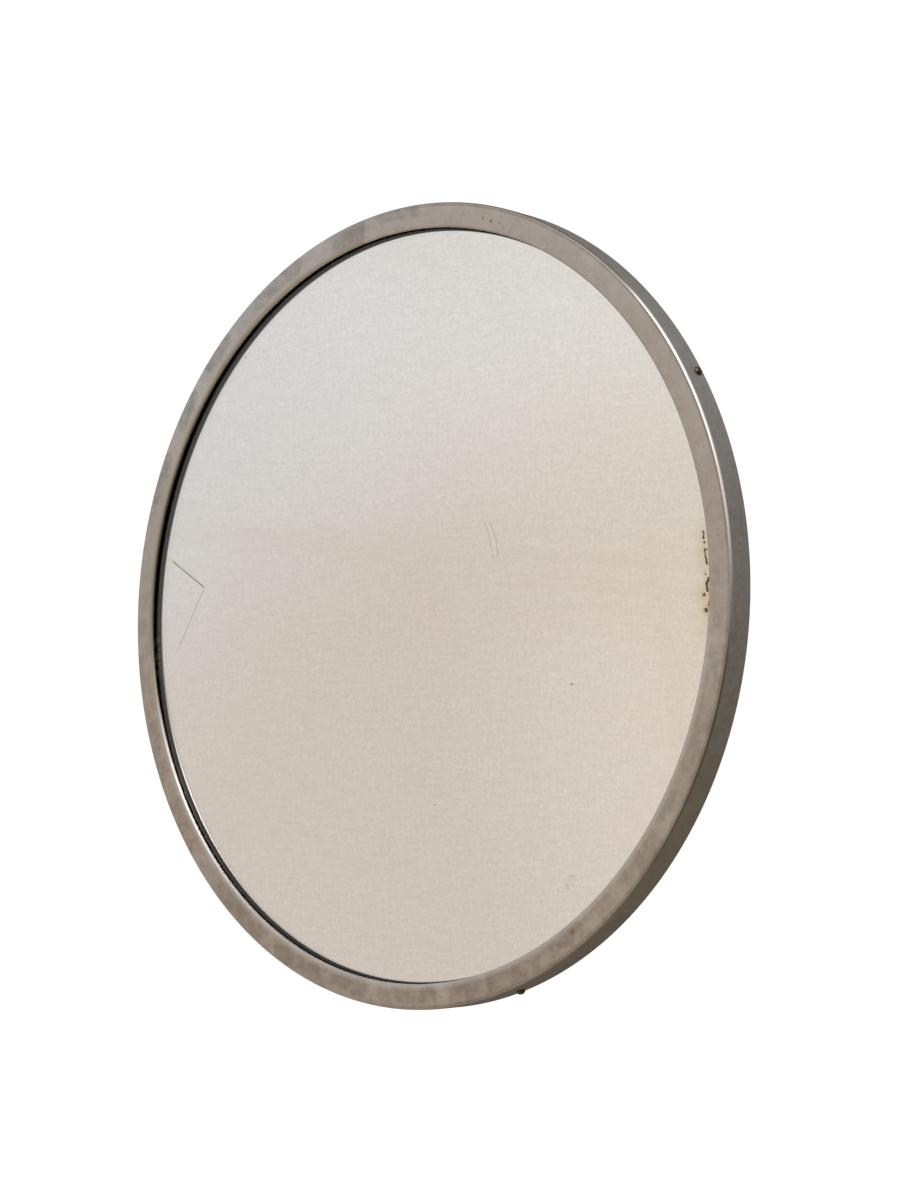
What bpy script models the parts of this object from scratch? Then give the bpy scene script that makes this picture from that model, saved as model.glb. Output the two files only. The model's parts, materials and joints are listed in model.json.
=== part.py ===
"""Round convex traffic mirror on a two-axis wall bracket. Blender 4.5, metres, +Z up.

The origin is the centre of the wall plate's back face. The mirror faces -Y.
Depths along the mirror's own axis are given as "forward" of the rim's front face.
"""
import math

import bmesh
import bpy
from mathutils import Matrix, Vector

# ---- driving dimensions ------------------------------------------------------------
GAP = 0.0003                    # clearance left between two touching pieces
SMOOTH_ANGLE = 35.0             # degrees; sharper edges stay crisp

PAN_AXIS_Y = -0.046             # vertical swivel axis, in front of the wall
TILT_AXIS_Y = -0.130            # horizontal tilt axis
FACE_Y = -0.202                 # plane of the rim's front face

RING_STEPS = 96                 # facets round the large rings
ARC_STEPS = 20                  # facets on half a turn of a lug or an ear end
RIM_RADIUS = 0.300              # outside of the side wall
RIM_SHEET = 0.0012
RIM_DEPTH = 0.022               # front face to back edge
RIM_BEND = 0.0020               # outside radius between face and side wall
LIP_RADIUS = 0.2812             # clear opening inside the lip
LIP_ROLL = 0.0018               # outside radius of the rolled lip
LIP_STRAIGHT = 0.0005           # short straight end of the lip, towards the glass

GLASS_RADIUS = 0.2955
GLASS_CURVE = 2.200             # radius of the convex front
GLASS_THICK = 0.005
GLASS_SINK = 0.0034             # glass front below the rim face, at the lip
SILVER_THICK = 0.0005
SILVER_RADIUS = 0.2940

PAN_SHEET = 0.0010
PAN_FLANGE_FRONT = -0.0115      # forward position of the flange's front edge
PAN_DISH_OUTER = 0.250          # where the pressed dish starts
PAN_DISH_INNER = 0.236
PAN_DISH_DEPTH = 0.005
PAN_BEND = 0.0025
VENT_RADIUS = 0.265
VENT_HOLE = 0.004
VENT_ANGLES = (250.0, 270.0, 290.0)

GASKET_INNER = 0.2850
GASKET_OUTER = 0.2945
PACKING_INNER = 0.268
PACKING_OUTER = 0.290

SCREW_ANGLES = (29.0, 110.0, 209.0, 290.0)
SCREW_FORWARD = -0.0162
SCREW_SHAFT = 0.0020
SCREW_HEAD = 0.0035
SCREW_HEAD_HEIGHT = 0.0024
SCREW_LENGTH = 0.0075
SCREW_SLOT = 0.0009
SCREW_SLOT_FLOOR = 0.0013       # slot's floor above the head's bearing face
RIM_NUT_FLATS = 0.007
RIM_NUT_HEIGHT = 0.0022
RIM_NUT_SETBACK = 0.0004        # extra room for the flange's flat facets

BRACKET_SHEET = 0.003
BRACKET_HALF_WIDTH = 0.027      # outside of the ears
BRACKET_HALF_HEIGHT = 0.060
BRACKET_BEND = 0.005
EAR_ROOT_HALF_HEIGHT = 0.034
EAR_END_RADIUS = 0.020
STIFFENER_THICK = 0.002
STIFFENER_HALF = (0.050, 0.070)
STIFFENER_CORNER = 0.008
BRACKET_BOLT_X = 0.014
BRACKET_BOLT_Z = 0.047
BRACKET_BOLT = {"flats": 0.010, "head": 0.004, "radius": 0.003, "nut": 0.005, "past": 0.0075}
BRACKET_WASHER = {"radius": 0.0062, "thick": 0.0016}

BARREL_RADIUS = 0.017
TUBE_RADIUS = 0.0135
TUBE_WALL = 0.0025
PAN_BOLT_RADIUS = 0.006
PAN_BOLT = {"flats": 0.019, "head": 0.0075, "nut": 0.010, "past": 0.004}
PAN_WASHER = {"radius": 0.012, "thick": 0.0025}
TILT_BOLT_RADIUS = 0.005
TILT_BOLT = {"flats": 0.017, "head": 0.0064, "nut": 0.008, "past": 0.003}
TILT_WASHER = {"radius": 0.010, "thick": 0.002}
BUSH_THICK = 0.002
BUSH_RADIUS = 0.016

LUG_INNER_Z = 0.024             # inside faces of the two lugs
LUG_THICK = 0.006
LUG_HALF_WIDTH = 0.021
PLATE_THICK = 0.006
PLATE_HALF = (0.060, 0.090)
PLATE_CORNER = 0.010
ANCHOR_X = 0.045
ANCHOR_Z = 0.070
ANCHOR_HOLE = 0.0055

# ---- positions that follow from them -----------------------------------------------
PAN_BACK = -RIM_DEPTH - PAN_DISH_DEPTH          # forward position of the dish's back face
WEB_FRONT = PAN_BACK - GAP
WEB_BACK = WEB_FRONT - BRACKET_SHEET
PAN_FLANGE_RADIUS = RIM_RADIUS - RIM_SHEET - GAP

COLOURS = {                     # base colour, metallic, roughness
    "rim_metal": ((0.50, 0.47, 0.42), 1.0, 0.38),
    "clear_glass": ((0.93, 0.96, 0.95), 0.0, 0.03),
    "silver": ((0.86, 0.85, 0.82), 1.0, 0.04),
    "rubber": ((0.02, 0.02, 0.02), 0.0, 0.80),
    "cork": ((0.33, 0.22, 0.12), 0.0, 0.90),
    "pan_paint": ((0.21, 0.22, 0.22), 0.0, 0.45),
    "brass": ((0.42, 0.29, 0.12), 1.0, 0.45),
    "zinc": ((0.55, 0.56, 0.57), 1.0, 0.40),
    "bracket_paint": ((0.17, 0.18, 0.18), 0.0, 0.50),
    "nylon": ((0.72, 0.70, 0.64), 0.0, 0.55),
}


# ---- helpers -----------------------------------------------------------------------
def clear_scene():
    for obj in list(bpy.data.objects):
        bpy.data.objects.remove(obj, do_unlink=True)


def material(slot):
    """One Principled material for each finish."""
    found = bpy.data.materials.get(slot)
    if found:
        return found
    colour, metallic, roughness = COLOURS[slot]
    made = bpy.data.materials.new(slot)
    made.use_nodes = True
    shader = made.node_tree.nodes["Principled BSDF"]
    shader.inputs["Base Color"].default_value = (*colour, 1.0)
    shader.inputs["Metallic"].default_value = metallic
    shader.inputs["Roughness"].default_value = roughness
    return made


def finish_object(name, bm, slot):
    """Turn a bmesh into a named object whose faces point outwards."""
    bmesh.ops.remove_doubles(bm, verts=bm.verts, dist=1e-6)
    bmesh.ops.recalc_face_normals(bm, faces=bm.faces)
    mesh = bpy.data.meshes.new(name)
    bm.to_mesh(mesh)
    bm.free()
    mesh.shade_smooth()
    mesh.set_sharp_from_angle(angle=math.radians(SMOOTH_ANGLE))
    mesh.materials.append(material(slot))
    obj = bpy.data.objects.new(name, mesh)
    bpy.context.scene.collection.objects.link(obj)
    return obj


def cutter(name, bm):
    """A helper solid that only cuts others."""
    obj = finish_object(name, bm, "zinc")
    obj.hide_render = True
    obj.display_type = "WIRE"
    return obj


def cut(obj, tool, operation="DIFFERENCE"):
    change = obj.modifiers.new(tool.name, "BOOLEAN")
    change.operation = operation
    change.solver = "EXACT"
    change.object = tool


def empty(name, location, parent=None):
    obj = bpy.data.objects.new(name, None)
    obj.empty_display_size = 0.03
    obj.location = location
    obj.parent = parent
    bpy.context.scene.collection.objects.link(obj)
    return obj


def turned(profile, steps, closed=True):
    """Spin an outline of (radius, along) points about the +Y axis. "along" runs towards -Y."""
    bm = bmesh.new()
    verts = [bm.verts.new((radius, -along, 0.0)) for radius, along in profile]
    pairs = list(zip(verts, verts[1:]))
    if closed:
        pairs.append((verts[-1], verts[0]))
    edges = [bm.edges.new(pair) for pair in pairs]
    bmesh.ops.spin(bm, geom=verts + edges, cent=(0, 0, 0), axis=(0, 1, 0),
                   angle=math.tau, steps=steps, use_duplicate=False)
    bmesh.ops.remove_doubles(bm, verts=bm.verts, dist=1e-6)
    return bm


def arc(centre, radius, start, end, steps):
    """Points on a circular arc in the (radius, along) plane, angles in degrees."""
    points = []
    for step in range(steps + 1):
        angle = math.radians(start + (end - start) * step / steps)
        points.append((centre[0] + radius * math.cos(angle), centre[1] + radius * math.sin(angle)))
    return points


def prism(outline, low, high, axis):
    """Extrude a closed outline between two positions along an axis ("X", "Y" or "Z")."""
    place = {
        "X": lambda a, b, level: (level, a, b),
        "Y": lambda a, b, level: (a, level, b),
        "Z": lambda a, b, level: (a, b, level),
    }[axis]
    bm = bmesh.new()
    face = bm.faces.new([bm.verts.new(place(a, b, low)) for a, b in outline])
    grown = bmesh.ops.extrude_face_region(bm, geom=[face])
    moved = [item for item in grown["geom"] if isinstance(item, bmesh.types.BMVert)]
    bmesh.ops.translate(bm, verts=moved, vec=Vector(place(0.0, 0.0, high - low)))
    return bm


def rounded_rectangle(half_a, half_b, corner, steps=6):
    points = []
    for sign_a, sign_b, start in ((1, 1, 0), (-1, 1, 90), (-1, -1, 180), (1, -1, 270)):
        centre = (sign_a * (half_a - corner), sign_b * (half_b - corner))
        points += arc(centre, corner, start, start + 90, steps)
    return points


def rod(radius, low, high, axis, centre=(0.0, 0.0), steps=20):
    """A plain round bar."""
    outline = arc(centre, radius, 0.0, 360.0, steps)[:-1]
    return prism(outline, low, high, axis)


def joined(parts):
    """Several solids that don't touch, in one mesh."""
    whole = bmesh.new()
    for part in parts:
        mesh = bpy.data.meshes.new("joining")
        part.to_mesh(mesh)
        part.free()
        whole.from_mesh(mesh)
        bpy.data.meshes.remove(mesh)
    return whole


def sleeve(inner, outer, low, high, axis, centre=(0.0, 0.0), steps=28):
    """A round tube, washer or bush with square ends."""
    bm = turned([(outer, low), (outer, high), (inner, high), (inner, low)], steps)
    turn = {"X": Matrix.Rotation(math.radians(90), 3, "Z"),
            "Y": Matrix.Rotation(math.radians(180), 3, "X"),
            "Z": Matrix.Rotation(math.radians(-90), 3, "X")}[axis]
    bmesh.ops.rotate(bm, verts=bm.verts, cent=(0, 0, 0), matrix=turn)
    shift = {"X": (0.0, *centre), "Y": (centre[0], 0.0, centre[1]), "Z": (*centre, 0.0)}[axis]
    bmesh.ops.translate(bm, verts=bm.verts, vec=Vector(shift))
    return bm


def bolt(flats, head_height, radius, length):
    """Hexagon bolt standing on its head's bearing face at the origin, shaft towards -Z."""
    hexagon = arc((0.0, 0.0), flats / math.sqrt(3.0), 0.0, 360.0, 6)[:-1]
    bm = prism(hexagon, 0.0, head_height, "Z")
    base = min(bm.faces, key=lambda face: face.calc_center_median().z)
    ring = arc((0.0, 0.0), radius, 0.0, 360.0, 18)[:-1]
    inner = [bm.verts.new((x, y, 0.0)) for x, y in ring]
    loop = [bm.edges.new(pair) for pair in zip(inner, inner[1:] + inner[:1])]
    rim = list(base.edges)
    bmesh.ops.delete(bm, geom=[base], context="FACES_ONLY")
    bmesh.ops.bridge_loops(bm, edges=rim + loop)
    shaft = bmesh.ops.extrude_edge_only(bm, edges=loop)
    ends = [item for item in shaft["geom"] if isinstance(item, bmesh.types.BMVert)]
    chamfer = radius * 0.15
    bmesh.ops.translate(bm, verts=ends, vec=Vector((0.0, 0.0, chamfer - length)))
    last = [item for item in shaft["geom"] if isinstance(item, bmesh.types.BMEdge)]
    tip = bmesh.ops.extrude_edge_only(bm, edges=[e for e in last if set(e.verts) <= set(ends)])
    tips = [item for item in tip["geom"] if isinstance(item, bmesh.types.BMVert)]
    bmesh.ops.translate(bm, verts=tips, vec=Vector((0.0, 0.0, -chamfer)))
    bmesh.ops.scale(bm, verts=tips, vec=Vector((0.85, 0.85, 1.0)))
    caps = [item for item in tip["geom"] if isinstance(item, bmesh.types.BMEdge)]
    bmesh.ops.contextual_create(bm, geom=[e for e in caps if set(e.verts) <= set(tips)])
    return bm


def nut(flats, height, bore, sides=6):
    """Nut from the origin towards +Z, with a round bore."""
    corner = flats / 2.0 / math.cos(math.pi / sides)
    outline = arc((0.0, 0.0), corner, 180.0 / sides, 360.0 + 180.0 / sides, sides)[:-1]
    hole = arc((0.0, 0.0), bore, 0.0, 360.0, 18)[:-1]
    bm = bmesh.new()
    levels = []
    for level in (0.0, height):
        loops = []
        for ring in (outline, hole):
            verts = [bm.verts.new((x, y, level)) for x, y in ring]
            loops.append([bm.edges.new(pair) for pair in zip(verts, verts[1:] + verts[:1])])
        bmesh.ops.bridge_loops(bm, edges=loops[0] + loops[1])
        levels.append(loops)
    bmesh.ops.bridge_loops(bm, edges=levels[0][0] + levels[1][0])
    bmesh.ops.bridge_loops(bm, edges=levels[0][1] + levels[1][1])
    return bm


def round_head_screw():
    """Slotted round-head screw: bearing face at the origin, head towards +Z, shaft towards -Z."""
    dome = (SCREW_HEAD ** 2 + SCREW_HEAD_HEIGHT ** 2) / (2 * SCREW_HEAD_HEIGHT)
    edge = math.degrees(math.asin(min(1.0, SCREW_HEAD / dome)))
    profile = [(0.0, -SCREW_LENGTH), (SCREW_SHAFT, -SCREW_LENGTH), (SCREW_SHAFT, 0.0)]
    centre = (0.0, SCREW_HEAD_HEIGHT - dome)
    profile += arc(centre, dome, 90.0 - edge, 90.0, 5)
    profile[-1] = (0.0, SCREW_HEAD_HEIGHT)
    bm = turned(profile, 18, closed=False)
    bmesh.ops.rotate(bm, verts=bm.verts, cent=(0, 0, 0), matrix=Matrix.Rotation(math.radians(-90), 3, "X"))
    return bm


def forward(distance):
    """World Y of a point that far in front of the rim's face plane."""
    return FACE_Y - distance


def on_rim(angle, radius, along):
    """World position at an angle (degrees from +X, seen from the front) round the mirror's axis."""
    turn = math.radians(angle)
    return Vector((radius * math.cos(turn), forward(along), radius * math.sin(turn)))


def head_place(obj, matrix=None):
    """Put a piece drawn in world coordinates under the tilt axis without moving it."""
    obj.parent = bpy.data.objects["tilt_axis"]
    base = Matrix.Translation((0.0, -TILT_AXIS_Y, 0.0))
    obj.matrix_local = base @ (matrix if matrix else Matrix())
    return obj


def arm_place(obj):
    """Put a piece drawn in world coordinates under the pan axis without moving it."""
    obj.parent = bpy.data.objects["pan_axis"]
    obj.matrix_local = Matrix.Translation((0.0, -PAN_AXIS_Y, 0.0))
    return obj


# ---- mirror head -------------------------------------------------------------------
def glass_front(radius):
    """How far the glass front is in front of the rim's face plane at a radius."""
    drop = (LIP_RADIUS ** 2 - radius ** 2) / (2 * GLASS_CURVE)
    return drop - GLASS_SINK


def glass_back(radius):
    return glass_front(radius) - GLASS_THICK


def dome_profile(top, bottom, edge_radius, rings):
    """Outline of a shell between two curved surfaces, from the axis out and back."""
    radii = [edge_radius * step / rings for step in range(rings + 1)]
    upper = [(radius, top(radius)) for radius in radii]
    lower = [(radius, bottom(radius)) for radius in reversed(radii)]
    return upper + lower


def make_front_rim():
    back = -RIM_DEPTH
    inner_bend = RIM_BEND - RIM_SHEET
    inner_roll = LIP_ROLL - RIM_SHEET
    bend_centre = (RIM_RADIUS - RIM_BEND, -RIM_BEND)
    roll_centre = (LIP_RADIUS + LIP_ROLL, -LIP_ROLL)
    profile = [(RIM_RADIUS, back)]
    profile += arc(bend_centre, RIM_BEND, 0.0, 90.0, 3)
    profile += arc(roll_centre, LIP_ROLL, 90.0, 180.0, 3)
    lip_end = -LIP_ROLL - LIP_STRAIGHT
    profile += [(LIP_RADIUS, lip_end), (LIP_RADIUS + RIM_SHEET, lip_end)]
    profile += arc(roll_centre, inner_roll, 180.0, 90.0, 1)
    profile += arc(bend_centre, inner_bend, 90.0, 0.0, 2)
    profile += [(RIM_RADIUS - RIM_SHEET, back)]
    rim = head_place(finish_object("front_rim", turned(profile, RING_STEPS), "rim_metal"))
    rim.location.y += FACE_Y
    return rim


def make_glass_and_silver():
    glass = dome_profile(glass_front, glass_back, GLASS_RADIUS, 6)
    obj = head_place(finish_object("mirror_glass", turned(glass, RING_STEPS, closed=False), "clear_glass"))
    obj.location.y += FACE_Y

    def silver_top(radius):
        return glass_back(radius) - GAP

    def silver_bottom(radius):
        return silver_top(radius) - SILVER_THICK

    silver = dome_profile(silver_top, silver_bottom, SILVER_RADIUS, 6)
    obj = head_place(finish_object("silvering", turned(silver, RING_STEPS, closed=False), "silver"))
    obj.location.y += FACE_Y


def make_rings():
    top = -RIM_SHEET - GAP
    gasket = [(GASKET_OUTER, glass_front(GASKET_OUTER) + GAP), (GASKET_OUTER, top),
              (GASKET_INNER, top), (GASKET_INNER, glass_front(GASKET_INNER) + GAP)]
    obj = head_place(finish_object("lip_gasket", turned(gasket, RING_STEPS), "rubber"))
    obj.location.y += FACE_Y

    def packing_top(radius):
        return glass_back(radius) - 2 * GAP - SILVER_THICK

    floor = -RIM_DEPTH + PAN_SHEET + GAP
    packing = [(PACKING_OUTER, floor), (PACKING_OUTER, packing_top(PACKING_OUTER)),
               (PACKING_INNER, packing_top(PACKING_INNER)), (PACKING_INNER, floor)]
    obj = head_place(finish_object("packing_ring", turned(packing, RING_STEPS), "cork"))
    obj.location.y += FACE_Y


def pan_profile():
    """Flange, corner, flat ring, pressed dish, and the same again inside."""
    back = -RIM_DEPTH
    radius = PAN_FLANGE_RADIUS
    corner = (radius - PAN_BEND, back + PAN_BEND)
    inner_bend = PAN_BEND - PAN_SHEET
    profile = [(0.0, back + PAN_SHEET - PAN_DISH_DEPTH)]
    profile += [(PAN_DISH_INNER, back + PAN_SHEET - PAN_DISH_DEPTH), (PAN_DISH_OUTER, back + PAN_SHEET)]
    profile += arc(corner, inner_bend, 270.0, 360.0, 2)
    profile += [(radius - PAN_SHEET, PAN_FLANGE_FRONT), (radius, PAN_FLANGE_FRONT)]
    profile += arc(corner, PAN_BEND, 360.0, 270.0, 2)
    profile += [(PAN_DISH_OUTER, back), (PAN_DISH_INNER, back - PAN_DISH_DEPTH)]
    profile += [(0.0, back - PAN_DISH_DEPTH)]
    return profile


def bracket_bolt_spots():
    return [(x, z) for z in (BRACKET_BOLT_Z, -BRACKET_BOLT_Z) for x in (-BRACKET_BOLT_X, BRACKET_BOLT_X)]


def make_rear_pan():
    pan = head_place(finish_object("rear_pan", turned(pan_profile(), RING_STEPS, closed=False), "pan_paint"))
    pan.location.y += FACE_Y
    low = forward(0.0)
    high = forward(PAN_BACK - 0.01)
    holes = []
    for angle in VENT_ANGLES:
        spot = on_rim(angle, VENT_RADIUS, 0.0)
        holes.append(rod(VENT_HOLE, low, high, "Y", (spot.x, spot.z), 12))
    for spot in bracket_bolt_spots():
        holes.append(rod(BRACKET_BOLT["radius"] + GAP, low, high, "Y", spot, 12))
    return pan, head_place(cutter("pan_floor_holes", joined(holes)))


def screw_frame(angle):
    """Frame on the rim's outside wall whose +Z points out along the screw's axis."""
    turn = math.radians(angle)
    outward = Vector((math.cos(turn), 0.0, math.sin(turn)))
    sideways = Vector((0.0, 1.0, 0.0))
    across = sideways.cross(outward)
    place = Matrix((sideways, across, outward)).transposed().to_4x4()
    place.translation = on_rim(angle, RIM_RADIUS, SCREW_FORWARD)
    return place


def make_rim_screws(rim, pan):
    """Four screws that hold the rim on the pan, with their nuts, and the holes that they pass."""
    drills = []
    for number, angle in enumerate(SCREW_ANGLES, start=1):
        place = screw_frame(angle)
        drill = rod(SCREW_SHAFT + GAP, -0.006, 0.006, "Z", steps=16)
        bmesh.ops.transform(drill, matrix=place, verts=drill.verts)
        drills.append(drill)
        seat = place @ Matrix.Translation((0.0, 0.0, GAP))
        screw = head_place(finish_object(f"rim_screw_{number}", round_head_screw(), "brass"), seat)
        half = SCREW_SLOT / 2
        reach = 2 * SCREW_HEAD
        outline = [(-half, -reach), (half, -reach), (half, reach), (-half, reach)]
        slot = prism(outline, SCREW_SLOT_FLOOR, reach, "Z")
        slot_cutter = head_place(cutter(f"slot_{number}", slot), seat)
        cut(screw, slot_cutter)
        under = RIM_RADIUS - (PAN_FLANGE_RADIUS - PAN_SHEET) + GAP + RIM_NUT_SETBACK
        seat = place @ Matrix.Translation((0.0, 0.0, -under - RIM_NUT_HEIGHT))
        body = nut(RIM_NUT_FLATS, RIM_NUT_HEIGHT, SCREW_SHAFT + GAP, sides=4)
        head_place(finish_object(f"rim_nut_{number}", body, "zinc"), seat)
    tool = head_place(cutter("rim_screw_holes", joined(drills)))
    cut(rim, tool)
    cut(pan, tool)


def make_bracket_fasteners():
    head_seat = forward(PAN_BACK + PAN_SHEET + STIFFENER_THICK + 2 * GAP)
    washer_face = forward(WEB_BACK - GAP)
    washer_thick = BRACKET_WASHER["thick"]
    nut_seat = washer_face + washer_thick + GAP
    shaft = nut_seat - head_seat + BRACKET_BOLT["past"]
    flats = BRACKET_BOLT["flats"]
    radius = BRACKET_BOLT["radius"]
    turn = Matrix.Rotation(math.radians(90), 4, "X")
    for number, (x, z) in enumerate(bracket_bolt_spots(), start=1):
        seat = Matrix.Translation((x, head_seat, z)) @ turn
        body = bolt(flats, BRACKET_BOLT["head"], radius, shaft)
        head_place(finish_object(f"bracket_bolt_{number}", body, "zinc"), seat)
        washer = sleeve(radius + GAP, BRACKET_WASHER["radius"], washer_face, washer_face + washer_thick,
                        "Y", (x, z), 20)
        head_place(finish_object(f"bracket_washer_{number}", washer, "zinc"))
        seat = Matrix.Translation((x, nut_seat + BRACKET_BOLT["nut"], z)) @ turn
        body = nut(flats, BRACKET_BOLT["nut"], radius + GAP)
        head_place(finish_object(f"bracket_nut_{number}", body, "zinc"), seat)


def make_stiffener():
    front = forward(PAN_BACK + PAN_SHEET + STIFFENER_THICK + GAP)
    outline = rounded_rectangle(*STIFFENER_HALF, STIFFENER_CORNER)
    body = prism(outline, front, front + STIFFENER_THICK, "Y")
    return head_place(finish_object("stiffener_plate", body, "zinc"))


def make_back_bracket():
    """Folded U: a web against the pan and two ears that carry the tilt bolt."""
    web_front = forward(WEB_FRONT)
    ear_end = TILT_AXIS_Y + EAR_END_RADIUS
    half = BRACKET_HALF_WIDTH
    inner = half - BRACKET_SHEET
    small = BRACKET_BEND - BRACKET_SHEET
    left = (-half + BRACKET_BEND, web_front + BRACKET_BEND)
    right = (half - BRACKET_BEND, web_front + BRACKET_BEND)
    outline = [(-half, ear_end)] + arc(left, BRACKET_BEND, 180.0, 270.0, 5)
    outline += arc(right, BRACKET_BEND, 270.0, 360.0, 5) + [(half, ear_end), (inner, ear_end)]
    outline += arc(right, small, 360.0, 270.0, 3) + arc(left, small, 270.0, 180.0, 3)
    outline += [(-inner, ear_end)]
    fold = prism(outline, -BRACKET_HALF_HEIGHT, BRACKET_HALF_HEIGHT, "Z")
    bracket = head_place(finish_object("back_bracket", fold, "bracket_paint"))

    web_end = web_front + BRACKET_BEND + 0.001
    side = [(web_front - 0.002, -BRACKET_HALF_HEIGHT - 0.002), (web_end, -BRACKET_HALF_HEIGHT - 0.002)]
    side += [(web_end + 0.002, -EAR_ROOT_HALF_HEIGHT)]
    side += arc((TILT_AXIS_Y, 0.0), EAR_END_RADIUS, -70.0, 70.0, ARC_STEPS)
    side += [(web_end + 0.002, EAR_ROOT_HALF_HEIGHT)]
    side += [(web_end, BRACKET_HALF_HEIGHT + 0.002), (web_front - 0.002, BRACKET_HALF_HEIGHT + 0.002)]
    shape = head_place(cutter("bracket_side_shape", prism(side, -0.04, 0.04, "X")))
    cut(bracket, shape, "INTERSECT")
    hole = head_place(cutter("tilt_hole", rod(TILT_BOLT_RADIUS + GAP, -0.05, 0.05, "X", (TILT_AXIS_Y, 0.0))))
    cut(bracket, hole)
    return bracket


def make_tilt_bolt():
    near = BRACKET_HALF_WIDTH + GAP
    far = near + TILT_WASHER["thick"]
    bore = TILT_BOLT_RADIUS + GAP
    for name, low, high in (("tilt_washer_right", near, far), ("tilt_washer_left", -far, -near)):
        washer = sleeve(bore, TILT_WASHER["radius"], low, high, "X", (TILT_AXIS_Y, 0.0))
        head_place(finish_object(name, washer, "zinc"))
    seat = far + GAP
    flats = TILT_BOLT["flats"]
    turn = Matrix.Rotation(math.radians(90), 4, "Y")
    length = 2 * seat + TILT_BOLT["nut"] + TILT_BOLT["past"]
    place = Matrix.Translation((seat, TILT_AXIS_Y, 0.0)) @ turn
    body = bolt(flats, TILT_BOLT["head"], TILT_BOLT_RADIUS, length)
    head_place(finish_object("tilt_bolt", body, "zinc"), place)
    place = Matrix.Translation((-seat - TILT_BOLT["nut"], TILT_AXIS_Y, 0.0)) @ turn
    head_place(finish_object("tilt_nut", nut(flats, TILT_BOLT["nut"], bore), "zinc"), place)


def make_mirror_head():
    rim = make_front_rim()
    make_glass_and_silver()
    make_rings()
    pan, floor_holes = make_rear_pan()
    cut(pan, floor_holes)
    make_rim_screws(rim, pan)
    for sheet in (make_stiffener(), make_back_bracket()):
        cut(sheet, floor_holes)
    make_bracket_fasteners()
    make_tilt_bolt()


# ---- swivel arm --------------------------------------------------------------------
def make_arm():
    end = LUG_INNER_Z - GAP - BUSH_THICK - GAP
    barrel = sleeve(PAN_BOLT_RADIUS + GAP, BARREL_RADIUS, -end, end, "Z", (0.0, PAN_AXIS_Y))
    arm_place(finish_object("pan_barrel", barrel, "bracket_paint"))
    reach = BRACKET_HALF_WIDTH - BRACKET_SHEET - GAP
    barrel = sleeve(TILT_BOLT_RADIUS + GAP, BARREL_RADIUS, -reach, reach, "X", (TILT_AXIS_Y, 0.0))
    arm_place(finish_object("tilt_barrel", barrel, "bracket_paint"))

    tube = sleeve(TUBE_RADIUS - TUBE_WALL, TUBE_RADIUS, TILT_AXIS_Y, PAN_AXIS_Y, "Y")
    tube = arm_place(finish_object("arm_tube", tube, "bracket_paint"))
    rear = rod(BARREL_RADIUS + GAP, -0.03, 0.03, "Z", (0.0, PAN_AXIS_Y), 28)
    cut(tube, arm_place(cutter("rear_cope", rear)))
    front = rod(BARREL_RADIUS + GAP, -0.03, 0.03, "X", (TILT_AXIS_Y, 0.0), 28)
    cut(tube, arm_place(cutter("front_cope", front)))

    low = LUG_INNER_Z - GAP - BUSH_THICK
    for name, start in (("upper_bush", low), ("lower_bush", -low - BUSH_THICK)):
        bush = sleeve(PAN_BOLT_RADIUS + GAP, BUSH_RADIUS, start, start + BUSH_THICK, "Z", (0.0, PAN_AXIS_Y))
        arm_place(finish_object(name, bush, "nylon"))


# ---- wall bracket ------------------------------------------------------------------
def make_wall_plate():
    outline = rounded_rectangle(*PLATE_HALF, PLATE_CORNER)
    plate = finish_object("wall_plate", prism(outline, -PLATE_THICK, 0.0, "Y"), "bracket_paint")
    holes = []
    for x in (-ANCHOR_X, ANCHOR_X):
        for z in (-ANCHOR_Z, ANCHOR_Z):
            holes.append(rod(ANCHOR_HOLE, -0.02, 0.02, "Y", (x, z), 24))
    cut(plate, cutter("anchor_holes", joined(holes)))


def make_lugs():
    root = -PLATE_THICK - GAP
    outline = [(LUG_HALF_WIDTH, root), (-LUG_HALF_WIDTH, root)]
    outline += arc((0.0, PAN_AXIS_Y), LUG_HALF_WIDTH, 180.0, 360.0, ARC_STEPS)
    hole = cutter("pan_hole", rod(PAN_BOLT_RADIUS + GAP, -0.05, 0.05, "Z", (0.0, PAN_AXIS_Y), 24))
    for name, low in (("upper_lug", LUG_INNER_Z), ("lower_lug", -LUG_INNER_Z - LUG_THICK)):
        lug = finish_object(name, prism(outline, low, low + LUG_THICK, "Z"), "bracket_paint")
        cut(lug, hole)


def make_pan_bolt():
    near = LUG_INNER_Z + LUG_THICK + GAP
    far = near + PAN_WASHER["thick"]
    bore = PAN_BOLT_RADIUS + GAP
    for name, low, high in (("pan_washer_upper", near, far), ("pan_washer_lower", -far, -near)):
        washer = sleeve(bore, PAN_WASHER["radius"], low, high, "Z", (0.0, PAN_AXIS_Y))
        finish_object(name, washer, "zinc")
    seat = far + GAP
    length = 2 * seat + PAN_BOLT["nut"] + PAN_BOLT["past"]
    body = bolt(PAN_BOLT["flats"], PAN_BOLT["head"], PAN_BOLT_RADIUS, length)
    pan_bolt = finish_object("pan_bolt", body, "zinc")
    pan_bolt.location = (0.0, PAN_AXIS_Y, seat)
    pan_nut = finish_object("pan_nut", nut(PAN_BOLT["flats"], PAN_BOLT["nut"], bore), "zinc")
    pan_nut.location = (0.0, PAN_AXIS_Y, -seat - PAN_BOLT["nut"])


def main():
    clear_scene()
    pan_axis = empty("pan_axis", (0.0, PAN_AXIS_Y, 0.0))
    empty("tilt_axis", (0.0, TILT_AXIS_Y - PAN_AXIS_Y, 0.0), pan_axis)
    make_wall_plate()
    make_lugs()
    make_pan_bolt()
    make_arm()
    make_mirror_head()


main()
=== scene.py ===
import json
import math
import bmesh
import bpy
from mathutils import Matrix, Vector


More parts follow.
